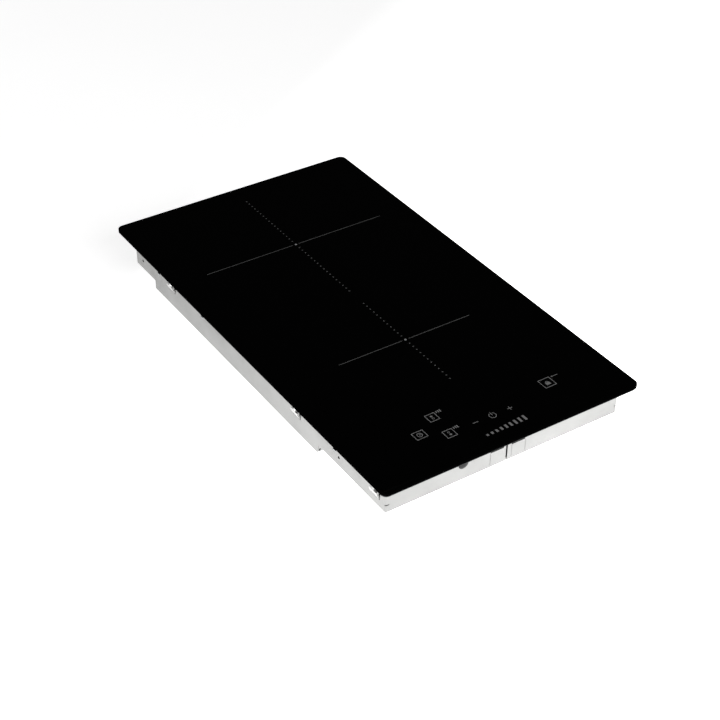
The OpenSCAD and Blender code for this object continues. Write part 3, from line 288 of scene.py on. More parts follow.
@dataclass(frozen=True)
class SheetMetal(Finish):
    """Rolled or ground metal: fine lines one way, cloudy zinc grains, and dull handling marks."""

    lines: Direction = Direction.ALONG
    line_width: float = 0.12
    line_length: float = 22.0
    line_depth: float = 0.002
    grain: float = 3.2
    grain_contrast: float = 0.05
    spread: float = 0.06

    def dress(self, shader: Shader) -> None:
        """Build the rolling lines, the grain and the dull clouds."""
        stretch = [self.line_length / self.line_width if axis else 1.0 for axis in self.lines.value]
        lines = shader.noise(self.line_width, 2, tuple(stretch))
        grain = shader.add("ShaderNodeSeparateColor", {0: shader.cells(self.grain, output="Color")}).outputs[0]
        clouds = shader.noise(38, 4)
        dark, light = shade(self.colour, 1 - self.grain_contrast), shade(self.colour, 1 + self.grain_contrast)
        tone = shader.mix(grain, dark, light)
        hazed = shader.mix(shader.between(clouds, 0, 0.5, 0.35, 0.75), tone, shade(self.colour, 0.88))
        body = shader.mix(shader.between(lines, 0, 0.25), hazed, shade(self.colour, 1.1))
        even = shader.between(grain, self.roughness - self.spread, self.roughness + self.spread, 0, 1)
        cloudy = shader.between(clouds, -self.spread, self.spread)
        rough = shader.add("ShaderNodeMath", {0: even, 1: cloudy}, operation="ADD", use_clamp=True).outputs[0]
        dents = shader.relief(shader.noise(14, 2), 0.02, 0.35)
        bump = shader.relief(lines, self.line_depth, 0.8, dents)
        shader.set(Metallic=1.0, Base_Color=body, Roughness=rough, Normal=bump)


@dataclass(frozen=True)
class Moulding(Finish):
    """Injection-moulded plastic: the mould's spark-eroded texture and slightly cloudy gloss."""

    texture: float = 0.3
    depth: float = 0.02
    flow: float = 0.06

    def dress(self, shader: Shader) -> None:
        """Build the texture and the flow clouds."""
        clouds = shader.noise(11, 3)
        pits = shader.noise(self.texture, 3)
        body = shader.mix(shader.between(clouds, 0, 1), shade(self.colour, 1 - self.flow), shade(self.colour, 1 + self.flow))
        fine = shader.between(pits, self.roughness - 0.06, self.roughness + 0.08)
        shader.set(Base_Color=body, Roughness=fine, Normal=shader.relief(pits, self.depth, 0.7))


@dataclass(frozen=True)
class CellularRubber(Finish):
    """Closed-cell foam or soft rubber: small cells with painted shade in their hollows, a dusty bloom and no gloss."""

    cell: float = 0.5
    depth: float = 0.08

    def dress(self, shader: Shader) -> None:
        """Build the cells, darkened in their hollows as painted shade, and the bloom."""
        cells = shader.cells(self.cell)
        bloom = shader.between(shader.noise(9, 3), 0, 0.7, 0.4, 0.8)
        # Painted shade: each cell is darkened towards its middle, where the bump sinks.
        pits = shader.mix(shader.between(cells, 0, 1, 0, 0.6), shade(self.colour, 0.55), srgb(self.colour))
        body = shader.mix(bloom, pits, shade(self.colour, 1.7))
        rough = shader.between(cells, self.roughness - 0.1, self.roughness, 0, 0.6)
        shader.set(Base_Color=body, Roughness=rough, Normal=shader.relief(cells, self.depth, 0.8))


@dataclass(frozen=True)
class CircuitBoard(Finish):
    """Glass-epoxy board under green solder mask: copper tracks show as paler raised bands."""

    track: float = 2.6

    def dress(self, shader: Shader) -> None:
        """Build the tracks, the mask's gloss and its pinholes."""
        bricks = shader.add(
            "ShaderNodeTexBrick",
            {"Vector": shader.coords, "Scale": 1 / (self.track * 4 * MM), "Mortar Size": 0.018, "Bias": 0.0,
             "Brick Width": 1.7, "Row Height": 0.24, "Color1": shade(self.colour, 1.0),
             "Color2": shade(self.colour, 1.75), "Mortar": shade(self.colour, 0.55)},
            offset=0.37, squash=1.6, squash_frequency=3,
        )
        speckle = shader.between(shader.noise(0.4, 2), 0, 0.25, 0.5, 0.75)
        body = shader.mix(speckle, bricks.outputs[0], shade(self.colour, 2.2))
        gloss = shader.between(shader.noise(5, 2), self.roughness - 0.07, self.roughness + 0.07)
        shader.set(Base_Color=body, Roughness=gloss, Normal=shader.relief(bricks.outputs[1], -0.03, 0.8))


@dataclass(frozen=True)
class Strands(Finish):
    """Lacquered copper wire or a braided sleeve: fine strands laid at an angle round the core, with painted shade in
    the grooves between them.
    """

    pitch: float = 0.7
    depth: float = 0.08
    metal: float = 1.0
    braided: bool = False

    def dress(self, shader: Shader) -> None:
        """Build one set of strands, or two that cross, darker in their grooves and lighter on their crowns as painted
        shade and highlight.
        """
        waves = []
        for turn in (0.7, -0.7) if self.braided else (0.7,):
            aim = {"Vector": shader.coords, "Rotation": (turn, turn * 0.6, turn)}
            turned = shader.add("ShaderNodeMapping", aim).outputs[0]
            wave = {"Vector": turned, "Scale": 0.314 / (self.pitch * MM), "Distortion": 0.6, "Detail": 1.0}
            waves.append(shader.add("ShaderNodeTexWave", wave).outputs[1])
        rib = waves[0]
        if self.braided:
            rib = shader.add("ShaderNodeMath", {0: waves[0], 1: waves[1]}, operation="MAXIMUM").outputs[0]
        fade = shader.between(shader.noise(7, 2), 0, 0.5)
        # Painted shade and highlight: darker in the grooves between strands, lighter on their crowns; on the green and
        # yellow sleeve, whose bands have almost no relief, the same bands serve as its colour stripes.
        body = shader.mix(rib, shade(self.colour, 0.6), shade(self.colour, 1.15))
        aged = shader.mix(fade, body, shade(self.colour, 0.8))
        rough = shader.between(rib, self.roughness + 0.15, self.roughness, 0, 1)
        shader.set(Metallic=self.metal, Base_Color=aged, Roughness=rough, Normal=shader.relief(rib, self.depth))


@dataclass(frozen=True)
class PressedMineral(Finish):
    """Ferrite, mica or ceramic fibre: pressed grains, flakes or fibres with open pores."""

    grain: float = 0.8
    depth: float = 0.05
    contrast: float = 0.2
    stretch: tuple[float, float, float] = (1.0, 1.0, 1.0)

    def dress(self, shader: Shader) -> None:
        """Build the grains, and larger patches between darker and lighter."""
        grains = shader.noise(self.grain, 5, self.stretch)
        flakes = shader.add("ShaderNodeSeparateColor", {0: shader.cells(self.grain * 5, output="Color")}).outputs[0]
        fine = shader.mix(shader.between(grains, 0, 1), shade(self.colour, 1 - self.contrast),
                          shade(self.colour, 1 + self.contrast))
        body = shader.mix(shader.between(flakes, 0, 0.4, 0, 1), fine, shade(self.colour, 1 - self.contrast * 0.7))
        rough = shader.between(flakes, self.roughness - 0.08, self.roughness + 0.05, 0, 1)
        shader.set(Base_Color=body, Roughness=rough, Normal=shader.relief(grains, self.depth))


@dataclass(frozen=True)
class StudioFloor(Finish):
    """A pale sweep lit from below like a light table, so that hardly any shadow is left on it."""

    glow: float = 0.78
    front_glow: float = 1.9
    reach: float = 0.3
    bright_way: tuple[float, float, float] = (0.55, -0.835, 0.0)

    def dress(self, shader: Shader) -> None:
        """Build a matt, faintly mottled floor that glows more towards the front."""
        mottle = shader.between(shader.noise(400, 3), 0, 1)
        tone = shader.mix(mottle, shade(self.colour, 0.985), srgb(self.colour))
        shader.set(Base_Color=tone, Roughness=self.roughness, Specular_IOR_Level=0.0)
        run = shader.add("ShaderNodeVectorMath", {0: shader.coords, 1: self.bright_way}, operation="DOT_PRODUCT")
        glow = shader.between(run.outputs["Value"], self.glow, self.front_glow, -self.reach, self.reach)
        shader.set(Emission_Color=tone, Emission_Strength=glow)


def zone_centres() -> tuple[tuple[float, float], ...]:
    """Find the middles of the two cooking zones.

    Returns:
        The x and y of each zone's sensor, in metres.
    """
    middles = []
    for node in ("rear_sensor", "front_sensor"):
        low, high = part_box(node)
        middles.append(((low.x + high.x) / 2, (low.y + high.y) / 2))
    return tuple(middles)


@dataclass(frozen=True)
class FinishBook:
    """Every finish of the cooktop, by the record's slot name."""

    slots: dict[str, Finish] = field(
        default_factory=lambda: {
            # Black body tint all through; it mirrors whatever stands above it.
            "black_glass_ceramic": GlassCeramic("Black glass ceramic", "#010101", 0.03),
            # Pale ceramic ink that the eye sees as thin grey lines.
            "fired_print": FiredPrint("Fired ceramic ink", "#d8d9da", 0.5, bright_spots=zone_centres()),
            # Charcoal foam tape, cut, with open cells at its cut edge.
            "foam_seal": CellularRubber("Closed cell foam", "#3b3b3c", 0.95),
            "silicone": CellularRubber("Black silicone bead", "#232324", 0.45, cell=2.4, depth=0.02),
            # Skin-passed zinc coat: pale, almost matt, with small even grains.
            "galvanised_steel": SheetMetal("Zinc coated sheet steel", "#a9a9a8", 0.42),
            "zinc_screws": SheetMetal("Zinc plated screws", "#b0aea6", 0.34, line_length=1.2, grain=0.9),
            # Bright stainless leaf, blanked and bent, with draw lines up the leaf.
            "spring_steel": SheetMetal("Bright spring steel", "#e2e2e1", 0.34, lines=Direction.UP,
                                       line_length=6.0, grain=1.5, grain_contrast=0.02),
            "ground_steel": SheetMetal("Ground steel shaft", "#cfd0d0", 0.2, line_width=0.06, line_length=0.8),
            "black_nylon": Moulding("Black glass filled nylon", "#0e0e0f", 0.55),
            "white_carrier": Moulding("White high heat plastic", "#dcdbd5", 0.45),
            "aluminium_sheet": SheetMetal("Mill finish aluminium", "#d3d5d7", 0.33, lines=Direction.ACROSS),
            "extruded_aluminium": SheetMetal("Extruded aluminium", "#c5c7ca", 0.36, line_width=0.25,
                                             line_length=90.0, line_depth=0.006, grain=6.0),
            "green_board": CircuitBoard("Solder mask over copper", "#1d6b43", 0.28),
            "brass_standoffs": SheetMetal("Turned brass", "#c9a558", 0.25, lines=Direction.ACROSS,
                                          line_width=0.08, line_length=0.9, grain=2.0),
            "black_epoxy": Moulding("Moulded epoxy package", "#252527", 0.6, texture=0.12),
            "red_case": Moulding("Red film capacitor case", "#a8392c", 0.3, texture=0.6, depth=0.01),
            "enamelled_copper": Strands("Lacquered litz copper", "#c27a45", 0.3),
            "yellow_tape": Moulding("Yellow polyester tape", "#d6b13b", 0.22, texture=1.4, depth=0.03),
            "ferrite": PressedMineral("Sintered ferrite", "#3a3a3d", 0.7, grain=0.25, depth=0.03),
            "mica": PressedMineral("Pressed mica sheet", "#b9a77f", 0.38, grain=1.1, depth=0.02, contrast=0.14),
            "ceramic_fibre": PressedMineral("Ceramic fibre felt", "#e9e7df", 0.95, grain=0.5, depth=0.25,
                                            contrast=0.08, stretch=(4.0, 1.0, 1.0)),
            "glass_sleeves": Strands("Braided glass sleeve", "#dcd6be", 0.6, pitch=0.8, metal=0.0, braided=True),
            "grey_ribbon": Moulding("Grey ribbon cable", "#b3b4b8", 0.4, texture=1.27, depth=0.12),
            "black_rubber": CellularRubber("Moulded black rubber", "#262627", 0.7, cell=0.35, depth=0.02),
            "wire_sleeves": Moulding("Blue wire sleeve", "#3b5f9e", 0.33, texture=1.6, depth=0.02),
            "earth_sleeve": Strands("Green and yellow sleeve", "#9db63a", 0.35, pitch=2.6, depth=0.005, metal=0.0),
        }
    )

    def of(self, slot: str) -> bpy.types.Material:
        """Return the material of a record slot."""
        return self.slots[slot].material()

    def dress_frame(self) -> int:
        """Put each CAD node's finish into its own material slot.

        Returns:
            How many nodes were dressed.
        """
        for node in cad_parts.values():
            for holder in node.material_slots:
                holder.material = self.of(holder.material.name)
        return len(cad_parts)


BOOK = FinishBook()


class Piece:
    """A finished mesh at the origin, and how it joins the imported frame."""

    def __init__(self, name: str, mesh: bpy.types.Mesh, slot: str, material: bpy.types.Material | None = None) -> None:
        """Link the mesh and give it its finish.

        Args:
            name: The piece's name.
            mesh: Its mesh, in the row frame.
            slot: The record slot that its finish comes from.
            material: The finish, where it isn't the slot's own.
        """
        self.object = bpy.data.objects.new(name, mesh)
        bpy.context.scene.collection.objects.link(self.object)
        mesh.materials.clear()
        mesh.materials.append(material or BOOK.of(slot))
        self.slot = slot

    def join_frame(self, body: str, *nodes: str) -> "Piece":
        """Make the piece ride on a body and stand for its nodes.

        Args:
            body: The body's name.
            nodes: The CAD nodes that it stands for.

        Returns:
            The piece itself.
        """
        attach(self.object, body)
        if nodes:
            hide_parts(*nodes)
        LOG.info("%s: %d faces on %s", self.object.name, len(self.object.data.polygons), body)
        return self


def mesh_from(made: bmesh.types.BMesh, name: str, smooth: float = 30.0) -> bpy.types.Mesh:
    """Close a bmesh, turn its faces outward and shade it by angle.

    Args:
        made: The bmesh, which is freed.
        name: The mesh's name.
        smooth: The edge angle in degrees below which faces shade as one.

    Returns:
        The mesh.
    """
    bmesh.ops.recalc_face_normals(made, faces=made.faces)
    for face in made.faces:
        face.smooth = True
    for edge in made.edges:
        edge.smooth = len(edge.link_faces) == 2 and edge.calc_face_angle(math.pi) < math.radians(smooth)
    mesh = bpy.data.meshes.new(name)
    made.to_mesh(mesh)
    made.free()
    return mesh


def applied(mesh: bpy.types.Mesh, kind: str, **settings: Any) -> bpy.types.Mesh:
    """Run one modifier over a mesh and keep its result.

    Args:
        mesh: The mesh to change.
        kind: The modifier's type.
        settings: The modifier's options.

    Returns:
        The changed mesh.
    """
    holder = bpy.data.objects.new("holder", mesh)
    bpy.context.scene.collection.objects.link(holder)
    modifier = holder.modifiers.new(kind.lower(), kind)
    for name, value in settings.items():
        setattr(modifier, name, value)
    result = bpy.data.meshes.new_from_object(holder.evaluated_get(bpy.context.evaluated_depsgraph_get()))
    bpy.data.objects.remove(holder)
    return result


def solids_of(node: str) -> list[tuple[Vector, Vector]]:
    """Find the separate solids of a CAD node.

    Args:
        node: The node's name.

    Returns:
        The lowest and highest corner of each solid.
    """
    made = bmesh.new()
    made.from_mesh(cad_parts[node].data)
    bmesh.ops.remove_doubles(made, verts=made.verts, dist=0.01 * MM)
    left, found = set(made.verts), []
    while left:
        queue, group = [left.pop()], []
        while queue:
            vertex = queue.pop()
            group.append(vertex.co.copy())
            for edge in vertex.link_edges:
                other = edge.other_vert(vertex)
                if other in left:
                    left.remove(other)
                    queue.append(other)
        points = np.array(group)
        found.append((Vector(points.min(0)), Vector(points.max(0))))
    made.free()
    return sorted(found, key=lambda pair: tuple(round(c, 5) for c in pair[0]))


def rounded_outline(low: Vector, high: Vector, radius: float, steps: int) -> list[Vector]:
    """Walk round a rectangle with round corners.

    Args:
        low: Its lowest corner.
        high: Its highest corner.
        radius: The corner radius in metres.
        steps: The segments in each corner.

    Returns:
        The outline's points at height zero, anticlockwise.
    """
    points = []
    for corner, (sx, sy) in enumerate(((1, -1), (1, 1), (-1, 1), (-1, -1))):
        centre_x = (high.x if sx > 0 else low.x) - sx * radius
        centre_y = (high.y if sy > 0 else low.y) - sy * radius
        for step in range(steps + 1):
            angle = math.radians(-90 + 90 * corner + 90 * step / steps)
            points.append(Vector((centre_x + radius * math.cos(angle), centre_y + radius * math.sin(angle), 0)))
    return points


@dataclass
class GlassPlate:
    """The glass plate: ground edges, a sloped front facet, and a fine arris all round."""

    corner: float = 7.0
    facet_width: float = 3.6
    facet_height: float = 1.6
    arris: float = 0.45
    print_stand: float = 0.02
    corner_steps: int = 14

    def build(self) -> Piece:
        """Extrude the outline, cut the facet and break the edges.

        Returns:
            The plate, in place of the CAD one.
        """
        low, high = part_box("glass_top")
        top = high.z - self.print_stand * MM
        made = bmesh.new()
        outline = rounded_outline(low, high, self.corner * MM, self.corner_steps)
        base = made.faces.new([made.verts.new((p.x, p.y, low.z)) for p in outline])
        raised = bmesh.ops.extrude_face_region(made, geom=[base])
        up = Vector((0, 0, top - low.z))
        bmesh.ops.translate(made, vec=up, verts=[v for v in raised["geom"] if isinstance(v, bmesh.types.BMVert)])
        slope = Vector((0, -self.facet_height, self.facet_width)).normalized()
        cut = bmesh.ops.bisect_plane(
            made, geom=made.verts[:] + made.edges[:] + made.faces[:], plane_no=slope, clear_outer=True,
            plane_co=(0, low.y + self.facet_width * MM, top),
        )
        rim = [e for e in cut["geom_cut"] if isinstance(e, bmesh.types.BMEdge)]
        bmesh.ops.contextual_create(made, geom=rim)
        mesh = mesh_from(made, "glass_plate")
        mesh = applied(mesh, "BEVEL", width=self.arris * MM, segments=3, limit_method="ANGLE",
                       angle_limit=math.radians(14), harden_normals=True)
        plate = Piece("glass_plate", mesh, "black_glass_ceramic")
        mesh.materials.append(GroundEdge("Ground black glass edge", "#030303", 0.5).material())
        for face in mesh.polygons:
            face.material_index = int(face.normal.z < 0.93)
        return plate.join_frame("housing", "glass_top")


@dataclass
class ClipLeaf:
    """A bent spring leaf that grips the worktop's cut edge: blanked, bent and rounded at its tip."""

    thickness: float = 0.6
    width: float = 12.0
    tip_radius: float = 2.4
    foot_radius: float = 1.0
    path: tuple[tuple[float, float, float], ...] = (
        (0.0, 0.1, 0.2), (3.5, 6.5, 1.1), (3.5, 7.8, 1.1), (-0.9, 12.9, 0.2),
    )
    web_outline: tuple[tuple[float, float], ...] = (
        (0.0, 0.9), (0.4, 0.9), (3.35, 6.2), (3.45, 7.2), (3.2, 8.0), (1.4, 10.2), (0.1, 10.2), (1.4, 6.6), (0.6, 3.4),
    )
    steps: int = 7

    def centreline(self) -> list[Vector]:
        """Round the leaf's two bends.

        Returns:
            Points up the leaf, as offset outward and height, in mm.
        """
        knots = [Vector((x, z)) for x, z, _ in self.path]
        line = [knots[0]]
        for i in range(1, len(knots) - 1):
            before, here, after = knots[i - 1], knots[i], knots[i + 1]
            reach = min(self.path[i][2], (before - here).length * 0.48, (after - here).length * 0.48)
            start, end = here + (before - here).normalized() * reach, here + (after - here).normalized() * reach
            for step in range(self.steps + 1):
                t = step / self.steps
                line.append(start * (1 - t) ** 2 + here * (2 * t * (1 - t)) + end * t * t)
        line.append(knots[-1])
        fine = [line[0]]
        for a, b in zip(line, line[1:]):
            parts = max(1, int((b - a).length / 0.45))
            fine += [a.lerp(b, k / parts) for k in range(1, parts + 1)]
        return fine

    def half_width(self, run: float, length: float) -> float:
        """Half the leaf's width at a run from its foot, narrowed by its rounded corners."""
        half = self.width / 2
        for gap, radius in ((run, self.foot_radius), (length - run, self.tip_radius)):
            if gap < radius:
                half -= radius - math.sqrt(max(0.0, radius**2 - (radius - gap) ** 2))
        return half

    def web(self, made: bmesh.types.BMesh, edge_side: int, place: Callable[..., tuple[float, float, float]]) -> None:
        """Add the web that stiffens one edge of the leaf, folded back towards the wall.

        Args:
            made: The leaf's bmesh.
            edge_side: One for the rear edge, minus one for the front edge.
            place: Turns offset, width and height in mm into a point.
        """
        outer = edge_side * (self.width / 2 - 0.05)
        inner = outer - edge_side * self.thickness * 0.8
        rims = [[made.verts.new(place(x, y, z)) for x, z in self.web_outline] for y in (outer, inner)]
        made.faces.new(rims[0])
        made.faces.new(rims[1])
        for k in range(len(self.web_outline)):
            ahead = (k + 1) % len(self.web_outline)
            made.faces.new((rims[0][k], rims[0][ahead], rims[1][ahead], rims[1][k]))

    def build(self, node: str, body: str, side: int) -> Piece:
        """Sweep the leaf and put it in its clip's place.

        Args:
            node: The CAD clip that it stands for.
            body: The body that it rides on.
            side: One on the right, minus one on the left.

        Returns:
            The leaf.
        """
        low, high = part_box(node)
        root_x = (high.x if side > 0 else low.x) - side * 3.8 * MM
        middle_y = (low.y + high.y) / 2
        line = self.centreline()
        runs = [0.0]
        for a, b in zip(line, line[1:]):
            runs.append(runs[-1] + (b - a).length)
        made, rings = bmesh.new(), []
        edge = self.thickness * 0.22
        for i, point in enumerate(line):
            ahead, behind = line[min(i + 1, len(line) - 1)], line[max(i - 1, 0)]
            along = (ahead - behind).normalized()
            across = Vector((-along.y, along.x))
            half = self.half_width(min(max(runs[i], 0.05), runs[-1] - 0.05), runs[-1])
            t = self.thickness / 2
            ring = []
            for u, v in ((-half, -t + edge), (-half, t - edge), (-half + edge, t), (half - edge, t),
                         (half, t - edge), (half, -t + edge), (half - edge, -t), (-half + edge, -t)):
                spot = point + across * v
                ring.append(made.verts.new((root_x + side * spot.x * MM, middle_y + u * MM, low.z + spot.y * MM)))
            rings.append(ring)
        for first, second in zip(rings, rings[1:]):
            for k in range(8):
                made.faces.new((first[k], first[(k + 1) % 8], second[(k + 1) % 8], second[k]))
        made.faces.new(rings[0])
        made.faces.new(rings[-1])
        for edge_side in (-1, 1):
            self.web(made, edge_side, lambda x, y, z: (root_x + side * x * MM, middle_y + y * MM, low.z + z * MM))
        return Piece(f"leaf_{node}", mesh_from(made, node, 50), "spring_steel").join_frame(body, node)

    def build_all(self) -> list[Piece]:
        """Build the six leaves."""
        return [
            self.build(f"clip_{side}_{place}", f"tongue_{side}_{place}", 1 if side == "right" else -1)
            for side in ("left", "right") for place in ("rear", "mid", "front")
        ]


class Pattern:
    """A Geometry Nodes tree that puts one shape at many places, with named sizes."""

    def __init__(self, name: str, sizes: dict[str, float]) -> None:
        """Start a tree.

        Args:
            name: The tree's name.
            sizes: Its named inputs, in metres or plain numbers.
        """
        self.name, self.sizes = name, sizes
        self.tree = bpy.data.node_groups.new(name, "GeometryNodeTree")
        self.tree.interface.new_socket("Geometry", in_out="INPUT", socket_type="NodeSocketGeometry")
        self.tree.interface.new_socket("Geometry", in_out="OUTPUT", socket_type="NodeSocketGeometry")
        for label in sizes:
            self.tree.interface.new_socket(label, in_out="INPUT", socket_type="NodeSocketFloat")
        self.inlet = self.add("NodeGroupInput")
        self.outlet = self.add("NodeGroupOutput")

    def add(self, kind: str, inputs: dict[str | int, Any] | None = None, **settings: Any) -> bpy.types.Node:
        """Add a node to this tree; see add_node."""
        return add_node(self.tree, kind, inputs, **settings)

    def size(self, label: str) -> Any:
        """Return the socket of a named size."""
        return self.inlet.outputs[label]

    def turned(self, geometry: Any, move: tuple[float, float, float] | Any, turn: float = 0.0) -> Any:
        """Move a shape, after turning it about Z.

        Args:
            geometry: The shape's socket.
            move: The move in metres, or a vector socket.
            turn: The turn in radians.

        Returns:
            The moved shape's socket.
        """
        made = self.add("GeometryNodeTransform", {"Geometry": geometry, "Translation": move, "Rotation": (0, 0, turn)})
        return made.outputs[0]

    def combine(self, x: Any = 0.0, y: Any = 0.0, z: Any = 0.0) -> Any:
        """Make a vector socket of three numbers or sockets."""
        return self.add("ShaderNodeCombineXYZ", {0: x, 1: y, 2: z}).outputs[0]

    def times(self, value: Any, factor: Any, operation: str = "MULTIPLY") -> Any:
        """Multiply, or combine another way, two numbers or sockets."""
        return self.add("ShaderNodeMath", {0: value, 1: factor}, operation=operation).outputs[0]

    def at_places(self, shape: Any) -> Any:
        """Put the shape at each vertex of the base mesh, its Z along the vertex's own direction."""
        aim = self.add("GeometryNodeInputNamedAttribute", {"Name": "direction"}, data_type="FLOAT_VECTOR").outputs[0]
        spin = self.add("GeometryNodeInputNamedAttribute", {"Name": "spin"}, data_type="FLOAT").outputs[0]
        facing = self.add("FunctionNodeAlignRotationToVector", {"Vector": aim}, axis="Z").outputs[0]
        own = self.add("FunctionNodeAxisAngleToRotation", {"Axis": (0, 0, 1), "Angle": spin}).outputs[0]
        turn = self.add("FunctionNodeRotateRotation", {0: facing, 1: own}, rotation_space="LOCAL").outputs[0]
        points = {"Points": self.inlet.outputs["Geometry"], "Instance": shape, "Rotation": turn}
        return self.add("GeometryNodeInstanceOnPoints", points).outputs[0]

    def close(self, geometry: Any, material: bpy.types.Material, smooth: float = 0.6) -> None:
        """End the tree: realise, shade by angle and set the material.

        Args:
            geometry: The finished geometry's socket.
            material: Its material.
            smooth: The edge angle in radians above which an edge stays sharp.
        """
        real = self.add("GeometryNodeRealizeInstances", {"Geometry": geometry}).outputs[0]
        angle = self.add("GeometryNodeInputMeshEdgeAngle").outputs[0]
        sharp = self.times(angle, smooth, "LESS_THAN")
        faces = self.add("GeometryNodeSetShadeSmooth", {"Geometry": real, "Shade Smooth": True}).outputs[0]
        edges = {"Geometry": faces, "Shade Smooth": sharp}
        shaded = self.add("GeometryNodeSetShadeSmooth", edges, domain="EDGE").outputs[0]
        ended = self.add("GeometryNodeSetMaterial", {"Geometry": shaded, "Material": material}).outputs[0]
        self.tree.links.new(ended, self.outlet.inputs[0])

    def mesh(self, places: list[tuple[Vector, Vector, float]], **sizes: float) -> bpy.types.Mesh:
        """Run the tree over its places.

        Args:
            places: A point, a direction and a turn about it, for each shape.
            sizes: Values for the named inputs that differ from the tree's own.

        Returns:
            The plain mesh.
        """
        base = bpy.data.meshes.new(self.name)
        base.from_pydata([tuple(p[0]) for p in places], [], [])
        base.attributes.new("direction", "FLOAT_VECTOR", "POINT").data.foreach_set(
            "vector", [c for p in places for c in p[1]])
        base.attributes.new("spin", "FLOAT", "POINT").data.foreach_set("value", [p[2] for p in places])
        holder = bpy.data.objects.new(self.name, base)
        bpy.context.scene.collection.objects.link(holder)
        modifier = holder.modifiers.new(self.name, "NODES")
        modifier.node_group = self.tree
        for item in self.tree.interface.items_tree:
            if item.in_out == "INPUT" and item.name != "Geometry":
                modifier[item.identifier] = float({**self.sizes, **sizes}[item.name])
        result = bpy.data.meshes.new_from_object(holder.evaluated_get(bpy.context.evaluated_depsgraph_get()))
        bpy.data.objects.remove(holder)
        return result


@dataclass
class Screws:
    """Pan-head screws with a cross recess, in place of the CAD's plain ones."""

    recess: float = 0.44
    recess_depth: float = 0.55
    dome: float = 0.3

    def tree(self) -> Pattern:
        """Build the screw's tree: head, dome, cross recess and threaded shank.

        Returns:
            The tree, whose screw stands on its seat with its head up.
        """
        sizes = {"Head radius": 2.4 * MM, "Head height": 0.9 * MM, "Shank radius": 1.3 * MM, "Length": 6 * MM}
        made = Pattern("pan head screw", sizes)
        radius, height = made.size("Head radius"), made.size("Head height")
        disc = made.add("GeometryNodeMeshCylinder", {
            "Vertices": 28, "Radius": radius, "Depth": made.times(height, 1 - self.dome)}, fill_type="NGON")
        head, top = disc.outputs["Mesh"], disc.outputs["Top"]
        for rise, share in ((0.55, 0.9), (0.3, 0.8), (0.15, 0.62)):
            lift = made.times(made.times(height, self.dome), rise)
            step = made.add("GeometryNodeExtrudeMesh", {"Mesh": head, "Selection": top, "Offset Scale": lift})
            top = step.outputs["Top"]
            head = made.add("GeometryNodeScaleElements", {
                "Geometry": step.outputs["Mesh"], "Selection": top, "Scale": share}).outputs[0]
        head = made.turned(head, made.combine(z=made.times(height, (1 - self.dome) / 2)))
        slot = {"Size": made.combine(made.times(radius, 1.15), made.times(radius, 0.26), height)}
        bar = made.add("GeometryNodeMeshCube", slot).outputs["Mesh"]
        lift = made.combine(z=made.times(height, 1.5 - self.recess_depth))
        bars = [made.turned(bar, lift, turn) for turn in (0.0, math.pi / 2)]
        cut = made.add("GeometryNodeMeshBoolean", {"Mesh 1": head}, operation="DIFFERENCE")
        for one in bars:
            made.tree.links.new(one, cut.inputs["Mesh 2"])
        length = made.size("Length")
        shank = made.add("GeometryNodeMeshCylinder", {
            "Vertices": 14, "Radius": made.size("Shank radius"), "Depth": length}, fill_type="NGON")
        sunk = made.turned(shank.outputs["Mesh"], made.combine(z=made.times(length, -0.498)))
        both = made.add("GeometryNodeJoinGeometry")
        for part in (cut.outputs["Mesh"], sunk):
            made.tree.links.new(part, both.inputs[0])
        made.close(made.at_places(both.outputs[0]), BOOK.of("zinc_screws"))
        return made

    def build(self) -> list[Piece]:
        """Replace each CAD screw by its detailed one.

        Returns:
            One piece for each size of screw.
        """
        tree, pieces = self.tree(), []
        for node in ("housing_screws", "tray_screws", "board_screws"):
            groups: dict[tuple[float, float], list[tuple[Vector, Vector, float]]] = {}
            for i, (low, high) in enumerate(solids_of(node)):
                size, middle = high - low, (low + high) / 2
                if node != "housing_screws":
                    way = Vector((0, 0, 1))
                elif size.y > size.z * 1.02 or low.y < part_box("housing_frame")[0].y:
                    way = Vector((0, -1, 0))
                else:
                    way = Vector((0, 0, -1))
                axis = 1 if way.y else 2
                radius = size.x / 2
                seat = middle.copy()
                outer = high[axis] if way[axis] > 0 else low[axis]
                seat[axis] = outer - way[axis] * 0.9 * MM
                key = (round(radius, 6), round(size[axis], 6))
                groups.setdefault(key, []).append((seat, way, 0.6 + 1.9 * i))
            for number, ((radius, length), places) in enumerate(sorted(groups.items())):
                shape = {"Head radius": radius, "Head height": 0.9 * MM, "Length": length - 0.9 * MM,
                         "Shank radius": radius * 0.55}
                piece = Piece(f"{node}_{number}", tree.mesh(places, **shape), "zinc_screws")
                pieces.append(piece.join_frame("housing", *([node] if number == 0 else [])))
        return pieces


